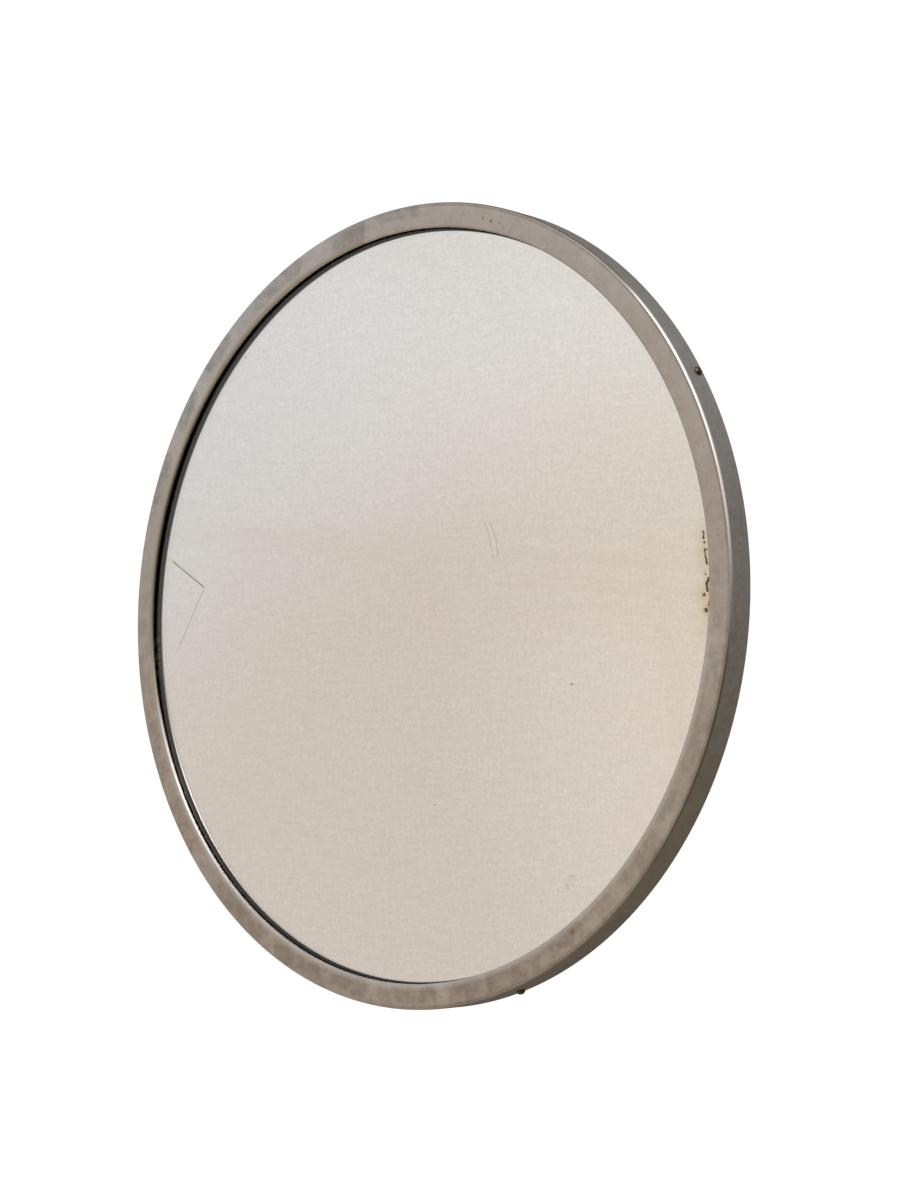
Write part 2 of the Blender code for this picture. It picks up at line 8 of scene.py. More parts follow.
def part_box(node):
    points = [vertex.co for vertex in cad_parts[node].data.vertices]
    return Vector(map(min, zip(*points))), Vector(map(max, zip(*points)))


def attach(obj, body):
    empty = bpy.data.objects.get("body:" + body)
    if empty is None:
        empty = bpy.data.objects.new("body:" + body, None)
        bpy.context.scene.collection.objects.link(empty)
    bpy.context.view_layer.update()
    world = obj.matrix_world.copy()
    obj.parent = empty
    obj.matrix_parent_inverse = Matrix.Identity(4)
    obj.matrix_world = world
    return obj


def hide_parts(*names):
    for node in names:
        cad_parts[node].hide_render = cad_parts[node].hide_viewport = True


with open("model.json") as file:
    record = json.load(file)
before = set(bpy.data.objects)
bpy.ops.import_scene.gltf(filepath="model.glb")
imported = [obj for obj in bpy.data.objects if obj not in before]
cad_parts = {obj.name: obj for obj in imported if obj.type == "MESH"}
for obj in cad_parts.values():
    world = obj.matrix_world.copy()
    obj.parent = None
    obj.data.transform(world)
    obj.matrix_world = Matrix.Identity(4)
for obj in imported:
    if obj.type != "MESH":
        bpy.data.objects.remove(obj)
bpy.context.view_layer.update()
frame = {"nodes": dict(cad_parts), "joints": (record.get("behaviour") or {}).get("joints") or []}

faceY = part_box("front_rim")[0].y         # plane of the rim's front face
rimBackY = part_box("front_rim")[1].y
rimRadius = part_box("front_rim")[1].x
axisPlace = {joint["name"]: Vector(joint["pos_m"]) for joint in frame["joints"]}
panAxisY = axisPlace["pan"].y            # upright swivel axis of the arm
tiltAxisY = axisPlace["tilt"].y          # level axis that the head tilts about


class Wire:                              # a socket that can be used in sums
    def __init__(self, tree, socket=None):
        self.tree = tree
        self.socket = socket

    def make(self, kind, settings=None, sockets=None, out=0):
        node = self.tree.nodes.new(kind)
        for key, value in (settings or {}).items():
            if key == "stops":
                ramp = node.color_ramp.elements
                while len(ramp) < len(value):
                    ramp.new(0.5)
                for stop, (place, shade) in zip(ramp, value):
                    stop.position = place
                    stop.color = (*shade, 1.0)
            else:
                setattr(node, key, value)
        for key, value in (sockets or {}).items():
            if isinstance(value, Wire):
                self.tree.links.new(value.socket, node.inputs[key])
            else:
                node.inputs[key].default_value = value
        return Wire(self.tree, node.outputs[out])

    def sum(self, operation, *terms):
        return self.make("ShaderNodeMath", {"operation": operation}, dict(enumerate(terms)))

    def __add__(self, other):
        return self.sum("ADD", self, other)

    def __radd__(self, other):
        return self.sum("ADD", other, self)

    def __sub__(self, other):
        return self.sum("SUBTRACT", self, other)

    def __rsub__(self, other):
        return self.sum("SUBTRACT", other, self)

    def __mul__(self, other):
        return self.sum("MULTIPLY", self, other)

    def __rmul__(self, other):
        return self.sum("MULTIPLY", other, self)

    def step(self, low, high):           # smooth 0 to 1 between two values, or 1 to 0 if they run down
        ranges = {"Value": self, "From Min": low, "From Max": high}
        return self.make("ShaderNodeMapRange", {"interpolation_type": "SMOOTHSTEP"}, ranges)


def vectorSum(wire, operation, *terms, out=0):
    return wire.make("ShaderNodeVectorMath", {"operation": operation}, dict(enumerate(terms)), out)


def blendColours(mask, first, second, mode="MIX"):
    first = (*first, 1.0) if isinstance(first, tuple) else first
    second = (*second, 1.0) if isinstance(second, tuple) else second
    ends = {0: mask, 6: first, 7: second}
    return mask.make("ShaderNodeMix", {"data_type": "RGBA", "blend_type": mode}, ends, 2)


def noise(vector, scale, detail=3.0, roughness=0.5, distortion=0.0):
    values = {"Vector": vector, "Scale": scale, "Detail": detail, "Roughness": roughness,
              "Distortion": distortion}
    return vector.make("ShaderNodeTexNoise", None, values)


def cells(vector, scale, out=0, sides="3D"):         # 0 is the distance to a cell's point, 1 is the cell's own colour
    return vector.make("ShaderNodeTexVoronoi", {"voronoi_dimensions": sides}, {"Vector": vector, "Scale": scale}, out)


def flatten(vector):                     # drops the depth, so a mark goes straight through
    return vectorSum(vector, "MULTIPLY", vector, (1.0, 0.0, 1.0))


def around(flat, x, z, reach):           # 1 near a spot, fading to 0 at its reach
    away = vectorSum(flat, "DISTANCE", flat, (x, 0.0, z), out=1)
    return away.step(reach, reach * 0.25)


def stroke(flat, start, end, halfWidth):             # 1 along a straight mark from (x, z) to (x, z), fading at its edges
    first = Vector((start[0], 0.0, start[1]))
    along = Vector((end[0], 0.0, end[1])) - first
    offset = vectorSum(flat, "SUBTRACT", flat, tuple(first))
    share = vectorSum(flat, "DOT_PRODUCT", offset, tuple(along), out=1) * (1.0 / along.length_squared)
    share = share.sum("MINIMUM", share.sum("MAXIMUM", share, 0.0), 1.0)
    reach = flat.make("ShaderNodeCombineXYZ", None, {0: share * along.x, 2: share * along.z})
    gap = vectorSum(flat, "DISTANCE", offset, reach, out=1)
    return gap.step(halfWidth, halfWidth * 0.35)


def strokes(flat, routes, grow=1.0):                 # the deepest of many marks, each a line of (x, z) points
    deepest = None
    for points, halfWidth, deep in routes:
        for start, end in zip(points, points[1:]):
            mark = stroke(flat, start, end, halfWidth * grow) * deep
            deepest = mark if deepest is None else deepest.sum("MAXIMUM", deepest, mark)
    return deepest


def newSurface(name):
    made = bpy.data.materials.new(name)
    made.use_nodes = True
    wire = Wire(made.node_tree)
    place = wire.make("ShaderNodeTexCoord", out=3)
    split = wire.make("ShaderNodeSeparateXYZ", None, {0: place}).socket.node.outputs
    x, y, z = (Wire(wire.tree, split[side]) for side in range(3))
    return made, made.node_tree.nodes["Principled BSDF"], place, x, y, z


def plug(shader, links, values):         # links vary over the surface, values are the same all over
    for key, wire in links.items():
        wire.tree.links.new(wire.socket, shader.inputs[key])
    for key, value in values.items():
        shader.inputs[key].default_value = value


def bump(height, strength, distance):
    return height.make("ShaderNodeBump", None, {"Strength": strength, "Distance": distance, "Height": height})


def deselect():
    if bpy.context.mode != "OBJECT":
        bpy.ops.object.mode_set(mode="OBJECT")
    bpy.ops.object.select_all(action="DESELECT")


def pick(obj):
    deselect()
    obj.select_set(True)
    bpy.context.view_layer.objects.active = obj


def arcPoints(centre, radius, start, end, steps):
    turns = [math.radians(start + (end - start) * step / steps) for step in range(steps + 1)]
    return [(centre[0] + radius * math.cos(turn), centre[1] + radius * math.sin(turn)) for turn in turns]


def drawLine(name, points):              # one vertex, extruded from point to point
    deselect()
    bpy.ops.mesh.primitive_plane_add(size=0.01)
    obj = bpy.context.object
    obj.name = obj.data.name = name
    bpy.ops.object.mode_set(mode="EDIT")
    bpy.ops.mesh.merge(type="CENTER")
    bpy.ops.transform.translate(value=points[0])
    for before, after in zip(points, points[1:]):
        move = Vector(after) - Vector(before)
        bpy.ops.mesh.extrude_vertices_move(TRANSFORM_OT_translate={"value": move})
    return obj


def closeLine(obj):
    cage = bmesh.from_edit_mesh(obj.data)
    for vert in cage.verts:
        vert.select_set(len(vert.link_edges) == 1)
    cage.select_flush_mode()
    bpy.ops.mesh.edge_face_add()
    bpy.ops.mesh.select_all(action="SELECT")


def tidyMesh(obj, sharpAngle=32):
    bpy.ops.mesh.select_all(action="SELECT")
    bpy.ops.mesh.remove_doubles(threshold=1e-6)
    bpy.ops.mesh.normals_make_consistent(inside=False)
    bpy.ops.object.mode_set(mode="OBJECT")
    bpy.ops.object.shade_smooth_by_angle(angle=math.radians(sharpAngle))
    return obj


def onAxis(axis, first, second, along):  # a point from its place across an axis and along it
    return {"X": (along, first, second), "Y": (first, along, second), "Z": (first, second, along)}[axis]


def lathe(name, outline, steps, axis="Y", centre=(0, 0, 0), closed=True, sharpAngle=32):   # (radius, along)
    places = [Vector(centre) + Vector(onAxis(axis, radius, 0, along)) for radius, along in outline]
    obj = drawLine(name, places)
    if closed:
        closeLine(obj)
    bpy.ops.mesh.select_all(action="SELECT")
    bpy.ops.mesh.spin(steps=steps, angle=math.tau, center=centre, axis=onAxis(axis, 0, 0, 1))
    return tidyMesh(obj, sharpAngle)


def slab(name, outline, low, high, axis, centre=(0, 0, 0)):      # a closed outline, filled and given depth
    places = [Vector(centre) + Vector(onAxis(axis, first, second, low)) for first, second in outline]
    obj = drawLine(name, places)
    closeLine(obj)
    bpy.ops.mesh.edge_face_add()
    bpy.ops.mesh.extrude_region_move(TRANSFORM_OT_translate={"value": onAxis(axis, 0, 0, high - low)})
    return tidyMesh(obj)


def drill(radius, low, high, axis, centre, steps=40):            # a round cutter
    outline = [(0, low), (radius, low), (radius, high), (0, high)]
    return lathe("drill", outline, steps, axis, centre, closed=False)


def useModifier(obj, kind, **settings):
    pick(obj)
    bpy.ops.object.modifier_add(type=kind)
    change = obj.modifiers[-1]
    for key, value in settings.items():
        setattr(change, key, value)
    bpy.ops.object.modifier_apply(modifier=change.name)


def carve(obj, *tools, operation="DIFFERENCE"):
    for tool in tools:
        useModifier(obj, "BOOLEAN", operation=operation, solver="EXACT", object=tool)
        bpy.data.objects.remove(tool)
    return obj


def soften(obj, width, segments=3):      # rounds every edge that is sharp
    pick(obj)
    bpy.ops.object.mode_set(mode="EDIT")
    bpy.ops.mesh.select_all(action="SELECT")
    bpy.ops.mesh.remove_doubles(threshold=2e-6)
    bpy.ops.mesh.dissolve_limited(angle_limit=math.radians(0.5))
    bpy.ops.object.mode_set(mode="OBJECT")
    useModifier(obj, "BEVEL", width=width, segments=segments, limit_method="ANGLE",
                angle_limit=math.radians(35), miter_outer="MITER_ARC", use_clamp_overlap=True)
    bpy.ops.object.shade_smooth_by_angle(angle=math.radians(42))
    return obj


def copyTo(source, name, matrix):        # a copy with a mesh of its own, its place in the mesh
    pick(source)
    bpy.ops.object.duplicate()
    obj = bpy.context.object
    obj.name = obj.data.name = name
    obj.matrix_world = matrix
    bpy.ops.object.transform_apply(location=True, rotation=True, scale=True)
    return obj


def dress(obj, surface, slotName, body, *nodes):     # material, body and the nodes that the piece stands for
    obj.data.materials.clear()
    obj.data.materials.append(surface)
    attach(obj, body)
    if nodes:
        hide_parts(*nodes)
    return obj


def paint(surface, *nodes):                          # a better material on CAD nodes that stay
    for node in nodes:
        obj = frame["nodes"][node]
        obj.data.materials.clear()
        obj.data.materials.append(surface)


rimMake = {"lip": 0.2812, "sheet": 0.0012, "bend": 0.0020, "roll": 0.0018, "lipEnd": 0.0023, "steps": 360,
           "screwAngles": (29, 110, 209, 290), "screwBack": 0.0162, "screwHole": 0.0023}
rimLook = {"grey": (0.535, 0.510, 0.500), "brown": (0.470, 0.405, 0.345), "wall": (0.385, 0.370, 0.350),
           # the pale colour is a real bloom and also a painted highlight along the inner edge
           "pale": (0.66, 0.645, 0.63), "stain": (0.250, 0.215, 0.175), "smear": (0.270, 0.258, 0.250), "olive": (0.36, 0.32, 0.24),
           # of the next three colours, the near-black one is painted shade under the lip, the dark brown one serves as
           # dirt and as painted shade on the bend, and the near-white one is a painted highlight
           "undersideShade": (0.048, 0.044, 0.026), "dirtAndShade": (0.15, 0.125, 0.10), "edge": (0.82, 0.79, 0.75),
           "stains": ((87, 94, 0.2950, 0.0040), (98, 103, 0.2900, 0.0065), (113, 122, 0.2940, 0.0065),
                      (131, 136, 0.2945, 0.0055), (142, 147, 0.2940, 0.0050), (153, 160, 0.2945, 0.0040),
                      (229, 238, 0.2900, 0.0080), (244, 252, 0.2915, 0.0065), (257, 262, 0.2880, 0.0070),
                      (270, 276, 0.2890, 0.0060), (281, 285, 0.2860, 0.0060), (288, 296, 0.2900, 0.0065),
                      (300, 306, 0.2880, 0.0045)),
           "rust": ((304.5, 0.2879, 0.0035), (71.9, 0.289, 0.0022), (73.6, 0.290, 0.0016))}


def rimSurface():                                    # spun sheet metal gone brown, with a dull grey bloom; painted highlights on the bend and the lip, and painted shade on the bend and under the lip
    made, shader, place, x, y, z = newSurface("agedRimMetal")
    flat = flatten(place)
    radius = vectorSum(place, "LENGTH", flat, out=1)
    lip = rimMake["lip"]
    depth = y - faceY                                # how far behind the face
    cloud = noise(place, 15.0, 4.0, 0.6)
    patch = noise(place, 52.0, 5.0, 0.65, 0.8)
    grime = noise(place, 240.0, 4.0, 0.65)
    grain = noise(place, 1500.0, 2.0, 0.6)
    upper = z.step(-0.14, 0.25)
    lowPart = z.step(0.08, -0.16)

    colour = blendColours(upper, rimLook["brown"], rimLook["grey"])
    colour = blendColours((x + z).step(0.12, 0.36) * 0.45, colour, rimLook["brown"])
    mottle = (cloud * 0.45 + patch * 0.55 + grime * 0.30).step(0.52, 0.80)
    colour = blendColours(mottle * (lowPart * 0.28 + 0.20), colour, rimLook["stain"])
    colour = blendColours(grime.step(0.46, 0.68) * (lowPart * 0.14 + 0.10), colour, rimLook["stain"])
    bloom = noise(place, 34.0, 4.0, 0.6, 0.5).step(0.50, 0.72) * 0.28
    colour = blendColours(bloom, colour, rimLook["pale"])
    smoke = noise(place, 95.0, 6.0, 0.68, 0.6)
    tracks = [((onRim(start, away), onRim((start + end) / 2, away), onRim(end, away)), wide, 1.0)
              for start, end, away, wide in rimLook["stains"]]
    spots = (strokes(flat, tracks, 1.9) * 0.46 + smoke * 1.3).step(0.84, 1.32)
    colour = blendColours(spots * 0.60, colour, blendColours(upper, rimLook["stain"], rimLook["smear"]))
    for angle, away, reach in rimLook["rust"]:
        colour = blendColours(around(flat, *onRim(angle, away), reach) * 0.7, colour, (0.24, 0.145, 0.065))

    # painted highlight: the inner edge of the face and the roll, in the lower half, are painted pale, broken up by
    # noise
    paintedSheenZone = radius.step(lip + 0.0058, lip + 0.0012)
    colour = blendColours(paintedSheenZone * z.step(0.06, -0.10) * (patch * 0.7 + 0.15), colour, rimLook["pale"])
    tanZone = radius.step(lip + 0.0042, lip + 0.0016) * x.step(0.0, -0.12) * z.step(-0.16, 0.0)
    colour = blendColours(tanZone * 0.75, colour, rimLook["olive"])

    seam = x.step(-0.0386, -0.0392) * x.step(-0.090, -0.042) * z.step(0.1, 0.2)
    colour = blendColours(seam * 0.35, colour, rimLook["stain"])
    litSide = (x * 0.951 + z * 0.309).step(0.263, 0.285)
    edgeLine = radius.step(rimRadius - 0.0034, rimRadius - 0.0024) * radius.step(rimRadius - 0.0010, rimRadius - 0.0018)
    colour = blendColours(edgeLine * (patch * 0.5 + 0.15) * x.step(-0.10, 0.06), colour, rimLook["dirtAndShade"])
    wallZone = depth.step(0.0012, 0.0022) * radius.step(rimRadius - 0.0008, rimRadius - 0.0003)
    wallTone = blendColours((grime * 0.6 + patch * 0.5).step(0.40, 0.75) * 0.50, rimLook["wall"], rimLook["stain"])
    colour = blendColours(wallZone, colour, wallTone)
    bendZone = radius.step(rimRadius - 0.0014, rimRadius - 0.0007) * depth.step(0.0022, 0.0013)
    # painted shade: outside its lit stretch, the bend on the right half is painted dark, more so at the top
    dark = bendZone * (1.0 - litSide) * x.step(-0.06, 0.08)
    colour = blendColours(dark * (z.step(0.14, 0.20) * 0.40 + 0.50), colour, rimLook["dirtAndShade"])
    # painted highlight: the lit stretch of the bend is painted near white
    colour = blendColours(bendZone * litSide * 0.9, colour, rimLook["edge"])

    pit = cells(place, 210.0).step(0.17, 0.06) * noise(place, 26.0, 2.0).step(0.50, 0.64)
    colour = blendColours(pit * 0.6, colour, (0.08, 0.07, 0.055))
    colour = blendColours(grain.step(0.35, 0.70) * 0.16, colour, rimLook["stain"])
    lowLeft = z.step(-0.02, -0.12)
    # painted highlight: a pale line on the lip's roll at the lower left
    colour = blendColours(lowLeft * x.step(0.06, -0.04) * depth.step(0.0008, 0.0014) * radius.step(lip + 0.004, lip + 0.002) * 0.15,
                          colour, rimLook["edge"])
    # painted shade: the lip's underside and inner wall are painted near black, starting deeper at the lower left
    shadedUnderside = (depth - lowLeft * 0.0009).step(0.0015, 0.0019) * radius.step(lip + 0.0060, lip + 0.0030)
    colour = blendColours(shadedUnderside, colour, rimLook["undersideShade"])

    shine = bendZone * litSide + radius.step(lip + 0.0024, lip + 0.0012) * x.step(0.05, -0.05) * 0.3
    rough = 0.40 + patch * 0.14 + grime * 0.06 - shine * 0.22 - bloom * 0.1
    height = grime * 0.30 + grain * 0.12 + patch * 0.6 - pit * 1.5
    plug(shader, {"Base Color": colour, "Roughness": rough, "Normal": bump(height, 0.28, 0.0002)}, {"Metallic": 1.0})
    return made


def onRim(angle, radius):                            # a place round the mirror, as (x, z)
    turn = math.radians(angle)
    return radius * math.cos(turn), radius * math.sin(turn)


def outward(angle, radius, y):                       # turns a piece made along +Z so that it stands out of the rim
    x, z = onRim(angle, 1.0)
    sideways = Vector((0.0, 1.0, 0.0))
    out = Vector((x, 0.0, z))
    matrix = Matrix((sideways, sideways.cross(out), out)).transposed().to_4x4()
    matrix.translation = (x * radius, y, z * radius)
    return matrix


def makeRim(surface):
    bend, roll, sheet, lip = rimMake["bend"], rimMake["roll"], rimMake["sheet"], rimMake["lip"]
    corner = (rimRadius - bend, faceY + bend)
    curl = (lip + roll, faceY + roll)
    outline = [(rimRadius, rimBackY), (rimRadius, rimBackY - 0.008)]
    outline += arcPoints(corner, bend, 0, -90, 8)
    outline += [(rimRadius - 0.009, faceY)]
    outline += arcPoints(curl, roll, 270, 180, 8)
    outline += arcPoints((lip + sheet / 2, faceY + rimMake["lipEnd"]), sheet / 2, 180, 0, 6)
    outline += arcPoints(curl, roll - sheet, 180, 270, 3)
    outline += arcPoints(corner, bend - sheet, -90, 0, 4)
    outline += [(rimRadius - sheet, rimBackY - 0.0002), (rimRadius - sheet + 0.0002, rimBackY)]
    rim = lathe("frontRim", outline, rimMake["steps"])
    tool = drill(rimMake["screwHole"], -0.006, 0.006, "Z", (0, 0, 0), 24)
    for angle in rimMake["screwAngles"]:
        carve(rim, copyTo(tool, "screwHole", outward(angle, rimRadius, faceY + rimMake["screwBack"])))
    bpy.data.objects.remove(tool)
    return dress(rim, surface, "rim_metal", "mirror_head", "front_rim")


glassMake = {"radius": 0.2955, "curve": 2.200, "thick": 0.005, "sink": 0.0034, "rings": 22, "steps": 240}


def glassSurface():                                  # nearly clear, with wiping smears and a little dust
    made, shader, place, x, y, z = newSurface("clearGlass")
    run = place.make("ShaderNodeCombineXYZ", None, {0: x * 5.0, 2: z * 60.0})
    smear = noise(run, 1.0, 4.0, 0.6).step(0.55, 0.80)
    dust = noise(place, 900.0, 2.0, 0.6).step(0.66, 0.80)
    plug(shader, {"Roughness": smear * 0.008 + dust * 0.01},
         {"Base Color": (0.996, 0.998, 0.996, 1.0), "Transmission Weight": 1.0, "IOR": 1.52})
    return made


def glassFront(radius):
    return faceY + glassMake["sink"] - (rimMake["lip"] ** 2 - radius ** 2) / (2 * glassMake["curve"])


def makeGlass(surface):
    rings, edge, thick = glassMake["rings"], glassMake["radius"], glassMake["thick"]
    radii = [(edge - 0.0008) * step / rings for step in range(rings + 1)]
    outline = [(radius, glassFront(radius)) for radius in radii]
    outline += [(edge, glassFront(edge) + 0.0008), (edge, glassFront(edge) + thick - 0.0008)]
    outline += [(radius, glassFront(radius) + thick) for radius in reversed(radii)]
    obj = lathe("mirrorGlass", outline, glassMake["steps"], closed=False)
    return dress(obj, surface, "clear_glass", "mirror_head", "mirror_glass")


silverMake = {"radius": 0.2945, "gap": 0.00005, "thick": 0.0004, "rings": 22, "steps": 240}
silverLook = {"cool": (0.978, 0.970, 0.960), "pink": (0.978, 0.937, 0.925), "yellow": (0.962, 0.925, 0.840),
              "strip": (0.940, 0.890, 0.790),
              "smear": (0.79, 0.725, 0.63), "grain": (0.70, 0.68, 0.655), "brown": (0.095, 0.075, 0.040),
              "rot": (0.060, 0.038, 0.014), "halo": (0.66, 0.50, 0.27), "green": (0.80, 0.80, 0.60), "straw": (0.925, 0.918, 0.845),
              "scratches": ((((-0.2590, 0.0480), (-0.2160, 0.0243)), 0.00068, 1.0),   # (x, z) points, half width, depth
                            (((-0.2160, 0.0225), (-0.2500, -0.0240)), 0.00050, 0.55),
                            (((0.0905, 0.0535), (0.0952, 0.0430), (0.0990, 0.0270)), 0.00042, 0.30),
                            (((0.0960, 0.0525), (0.1020, 0.0390), (0.1033, 0.0268)), 0.00042, 0.36)),
              "foxing": ((((0.2730, 0.0335), (0.2736, 0.0320)), 0.0011, 0.8), (((0.2731, 0.0305), (0.2734, 0.0292)), 0.0013, 0.9),
                         (((0.2738, 0.0264), (0.2740, 0.0260)), 0.0012, 0.8), (((0.2752, 0.0218), (0.2754, 0.0214)), 0.0009, 0.8),
                         (((0.2740, 0.0215), (0.2748, 0.0165), (0.2762, 0.0115)), 0.0010, 1.0),
                         (((0.2746, 0.0052), (0.2747, 0.0048)), 0.0009, 0.9),
                         (((0.2770, 0.0018), (0.2757, -0.0012), (0.2757, -0.0042), (0.2761, -0.0062)), 0.0016, 1.0),
                         (((0.2736, -0.0088), (0.2736, -0.0093)), 0.0016, 1.0), (((0.2774, -0.0138), (0.2770, -0.0166)), 0.0012, 1.0),
                         (((0.2748, -0.0190), (0.2752, -0.0196)), 0.0021, 1.0)),
              "specks": ((0.1671, -0.0660, 0.0013), (-0.1747, 0.2075, 0.0013), (-0.161, 0.2255, 0.0013),
                         (0.0400, -0.1500, 0.0008), (-0.0900, 0.1200, 0.0007)),
              "smudge": (0.1601, -0.2024)}


def silverSurface():                                 # old silvering: wiped smears, scratches, foxing at the right edge
    made, shader, place, x, y, z = newSurface("oldSilver")
    flat = flatten(place)
    roaming = place.make("ShaderNodeCombineXYZ", None, {0: x + noise(flat, 700.0, 2.0) * 0.0016 - 0.0008,
                                                        2: z + noise(flat, 620.0, 2.0) * 0.0024 - 0.0012})
    fox = strokes(roaming, silverLook["foxing"])
    fox = (fox * 0.60 + noise(flat, 700.0, 3.0, 0.7)).step(0.78, 0.98)
    ring = strokes(roaming, silverLook["foxing"], 2.4)
    haze = x.step(0.262, 0.276) * z.step(0.055, 0.020) * z.step(-0.050, -0.020) * noise(flat, 60.0, 3.0).step(0.25, 0.65)

    slope = z + x * 0.140 - 0.029                    # wiped band across the middle
    bandLine = slope.sum("ABSOLUTE", slope)
    run = place.make("ShaderNodeCombineXYZ", None, {0: x * 5.0, 2: slope * 150.0})
    side = x.step(0.02, 0.20) * 0.75 + x.step(-0.06, -0.18) * 0.25 + 0.10
    streak = noise(run, 1.0, 5.0, 0.65, 0.3).step(0.42, 0.64) * bandLine.step(0.052, 0.004) * side
    warp = place.make("ShaderNodeCombineXYZ", None, {0: x * 36.0, 2: z * 430.0})
    weft = place.make("ShaderNodeCombineXYZ", None, {0: x * 430.0, 2: z * 70.0})
    weave = noise(warp, 1.0, 4.0, 0.7) * 0.6 + noise(weft, 1.0, 3.0, 0.7) * 0.4
    drift = place.make("ShaderNodeCombineXYZ", None, {0: x * 7.0, 2: z * 22.0})
    drift = noise(drift, 1.0, 4.0, 0.6)
    tide = noise(place, 40.0, 3.0, 0.6) * 0.018 + slope
    tide = tide.step(0.004, 0.014) * tide.step(0.045, 0.015) * x.step(0.05, -0.02)

    cut = strokes(flat, silverLook["scratches"]) * (noise(flat, 400.0, 2.0).step(0.25, 0.50) * 0.4 + 0.6)
    worn = strokes(flat, ((((-0.2700, 0.0540), (-0.2560, 0.0460)), 0.0026, 1.0), (((-0.2560, 0.0450), (-0.2160, 0.0230)), 0.0014, 0.45)))
    smudgeX, smudgeZ = silverLook["smudge"]
    smudge = stroke(flat, (smudgeX + 0.001, smudgeZ + 0.003), (smudgeX - 0.003, smudgeZ - 0.003), 0.0045)
    smudge = smudge * noise(flat, 420.0, 3.0, 0.6).step(0.46, 0.60)

    broad = noise(place, 4.5, 3.0, 0.6)
    fleck = noise(place, 470.0, 4.0, 0.8)
    colour = blendColours((broad * 0.8 + z * 0.4 + x * 0.35).step(0.30, 0.60), silverLook["cool"], silverLook["pink"])
    colour = blendColours((x * 0.9 + broad * 0.1).step(0.16, 0.29) * 0.24, colour, silverLook["yellow"])
    strip = (x + z * 0.14).step(0.226, 0.236) * z.step(0.04, -0.02)
    colour = blendColours(strip * 0.85, colour, silverLook["strip"])
    straw = (x * 0.5 + z * 0.5 + noise(place, 11.0, 2.0, 0.5) * 0.25).step(0.19, 0.30)
    colour = blendColours(straw * 0.75, colour, silverLook["straw"])
    colour = blendColours(drift.step(0.42, 0.62) * (x.step(-0.20, 0.10) * 0.16 + 0.12), colour, silverLook["yellow"])
    colour = blendColours(noise(place, 22.0, 3.0, 0.6).step(0.45, 0.62) * 0.40, colour, silverLook["pink"])
    colour = blendColours(fleck.step(0.35, 0.65) * 0.38, colour, silverLook["grain"])
    colour = blendColours(weave.step(0.38, 0.62) * 0.25, colour, silverLook["grain"])
    # greyer towards the bottom
    colour = blendColours((z + x * 0.35).step(0.25, 0.06) * 0.20, colour, silverLook["grain"])
    colour = blendColours(streak * 0.38, colour, silverLook["smear"])
    colour = blendColours(tide * 0.16, colour, silverLook["smear"])
    colour = blendColours(haze * 0.40, colour, silverLook["halo"])
    colour = blendColours(worn * 0.55, colour, silverLook["green"])
    colour = blendColours(ring * 0.45, colour, silverLook["halo"])
    colour = blendColours(smudge * 0.18, colour, silverLook["brown"])
    colour = blendColours(cut * 0.95, colour, silverLook["brown"])
    for atX, atZ, reach in silverLook["specks"]:
        colour = blendColours(around(flat, atX, atZ, reach) * 0.85, colour, silverLook["rot"])
    colour = blendColours(fox, colour, silverLook["rot"])
    rough = 0.02 + fox * 0.5 + cut * 0.3 + streak * 0.05
    plug(shader, {"Base Color": colour, "Roughness": rough, "Metallic": 1.0 - fox * 0.3}, {})
    return made


def makeSilver(surface):
    rings, edge = silverMake["rings"], silverMake["radius"]
    near = glassMake["thick"] + silverMake["gap"]
    far = near + silverMake["thick"]
    radii = [edge * step / rings for step in range(rings + 1)]
    outline = [(radius, glassFront(radius) + near) for radius in radii]
    outline += [(radius, glassFront(radius) + far) for radius in reversed(radii)]
    obj = lathe("silverCoat", outline, silverMake["steps"], closed=False)
    return dress(obj, surface, "silver", "mirror_head", "silvering")


gasketMake = {"inner": 0.2848, "outer": 0.2945, "steps": 240, "black": (0.034, 0.034, 0.017),
              "dust": (0.048, 0.048, 0.028), "paper": (0.36, 0.29, 0.14)}


def rubberSurface():                                 # perished rubber, with a scrap of old backing paper at the left
    made, shader, place, x, y, z = newSurface("perishedRubber")
    dust = noise(place, 160.0, 4.0, 0.65).step(0.52, 0.72)
    cracks = cells(place, 900.0).step(0.02, 0.10)
    colour = blendColours(dust * 0.8, gasketMake["black"], gasketMake["dust"])
    paper = z.step(-0.048, -0.040) * z.step(-0.010, -0.016) * x.step(-0.2, -0.25)
    paper = paper * noise(place, 210.0, 3.0, 0.6).step(0.42, 0.56)
    colour = blendColours(paper, colour, gasketMake["paper"])
    plug(shader, {"Base Color": colour, "Roughness": 0.75 + dust * 0.2, "Normal": bump(cracks * 0.4 + dust * 0.3, 0.2, 0.0002)},
         {"Specular IOR Level": 0.2})
    return made


def makeGasket(surface):
    inner, outer = gasketMake["inner"], gasketMake["outer"]
    top = faceY + rimMake["sheet"] + 0.0001
    outline = [(outer, top), (outer, glassFront(outer) - 0.0001), (inner, glassFront(inner) - 0.0001)]
    outline += [(inner - 0.0002, (top + glassFront(inner)) / 2), (inner, top)]
    obj = lathe("lipGasket", outline, gasketMake["steps"])
    return dress(obj, surface, "rubber", "mirror_head", "lip_gasket")


panMake = {"sheet": 0.0010, "flangeBack": 0.0115, "bend": 0.0025, "shoulder": 0.250, "dish": 0.236, "press": 0.003,
           "bead": 0.165, "beadWide": 0.016, "beadDeep": 0.0028, "vent": 0.265, "ventHole": 0.004,
           "ventAngles": (250, 270, 290), "boltHole": 0.0033, "steps": 240}


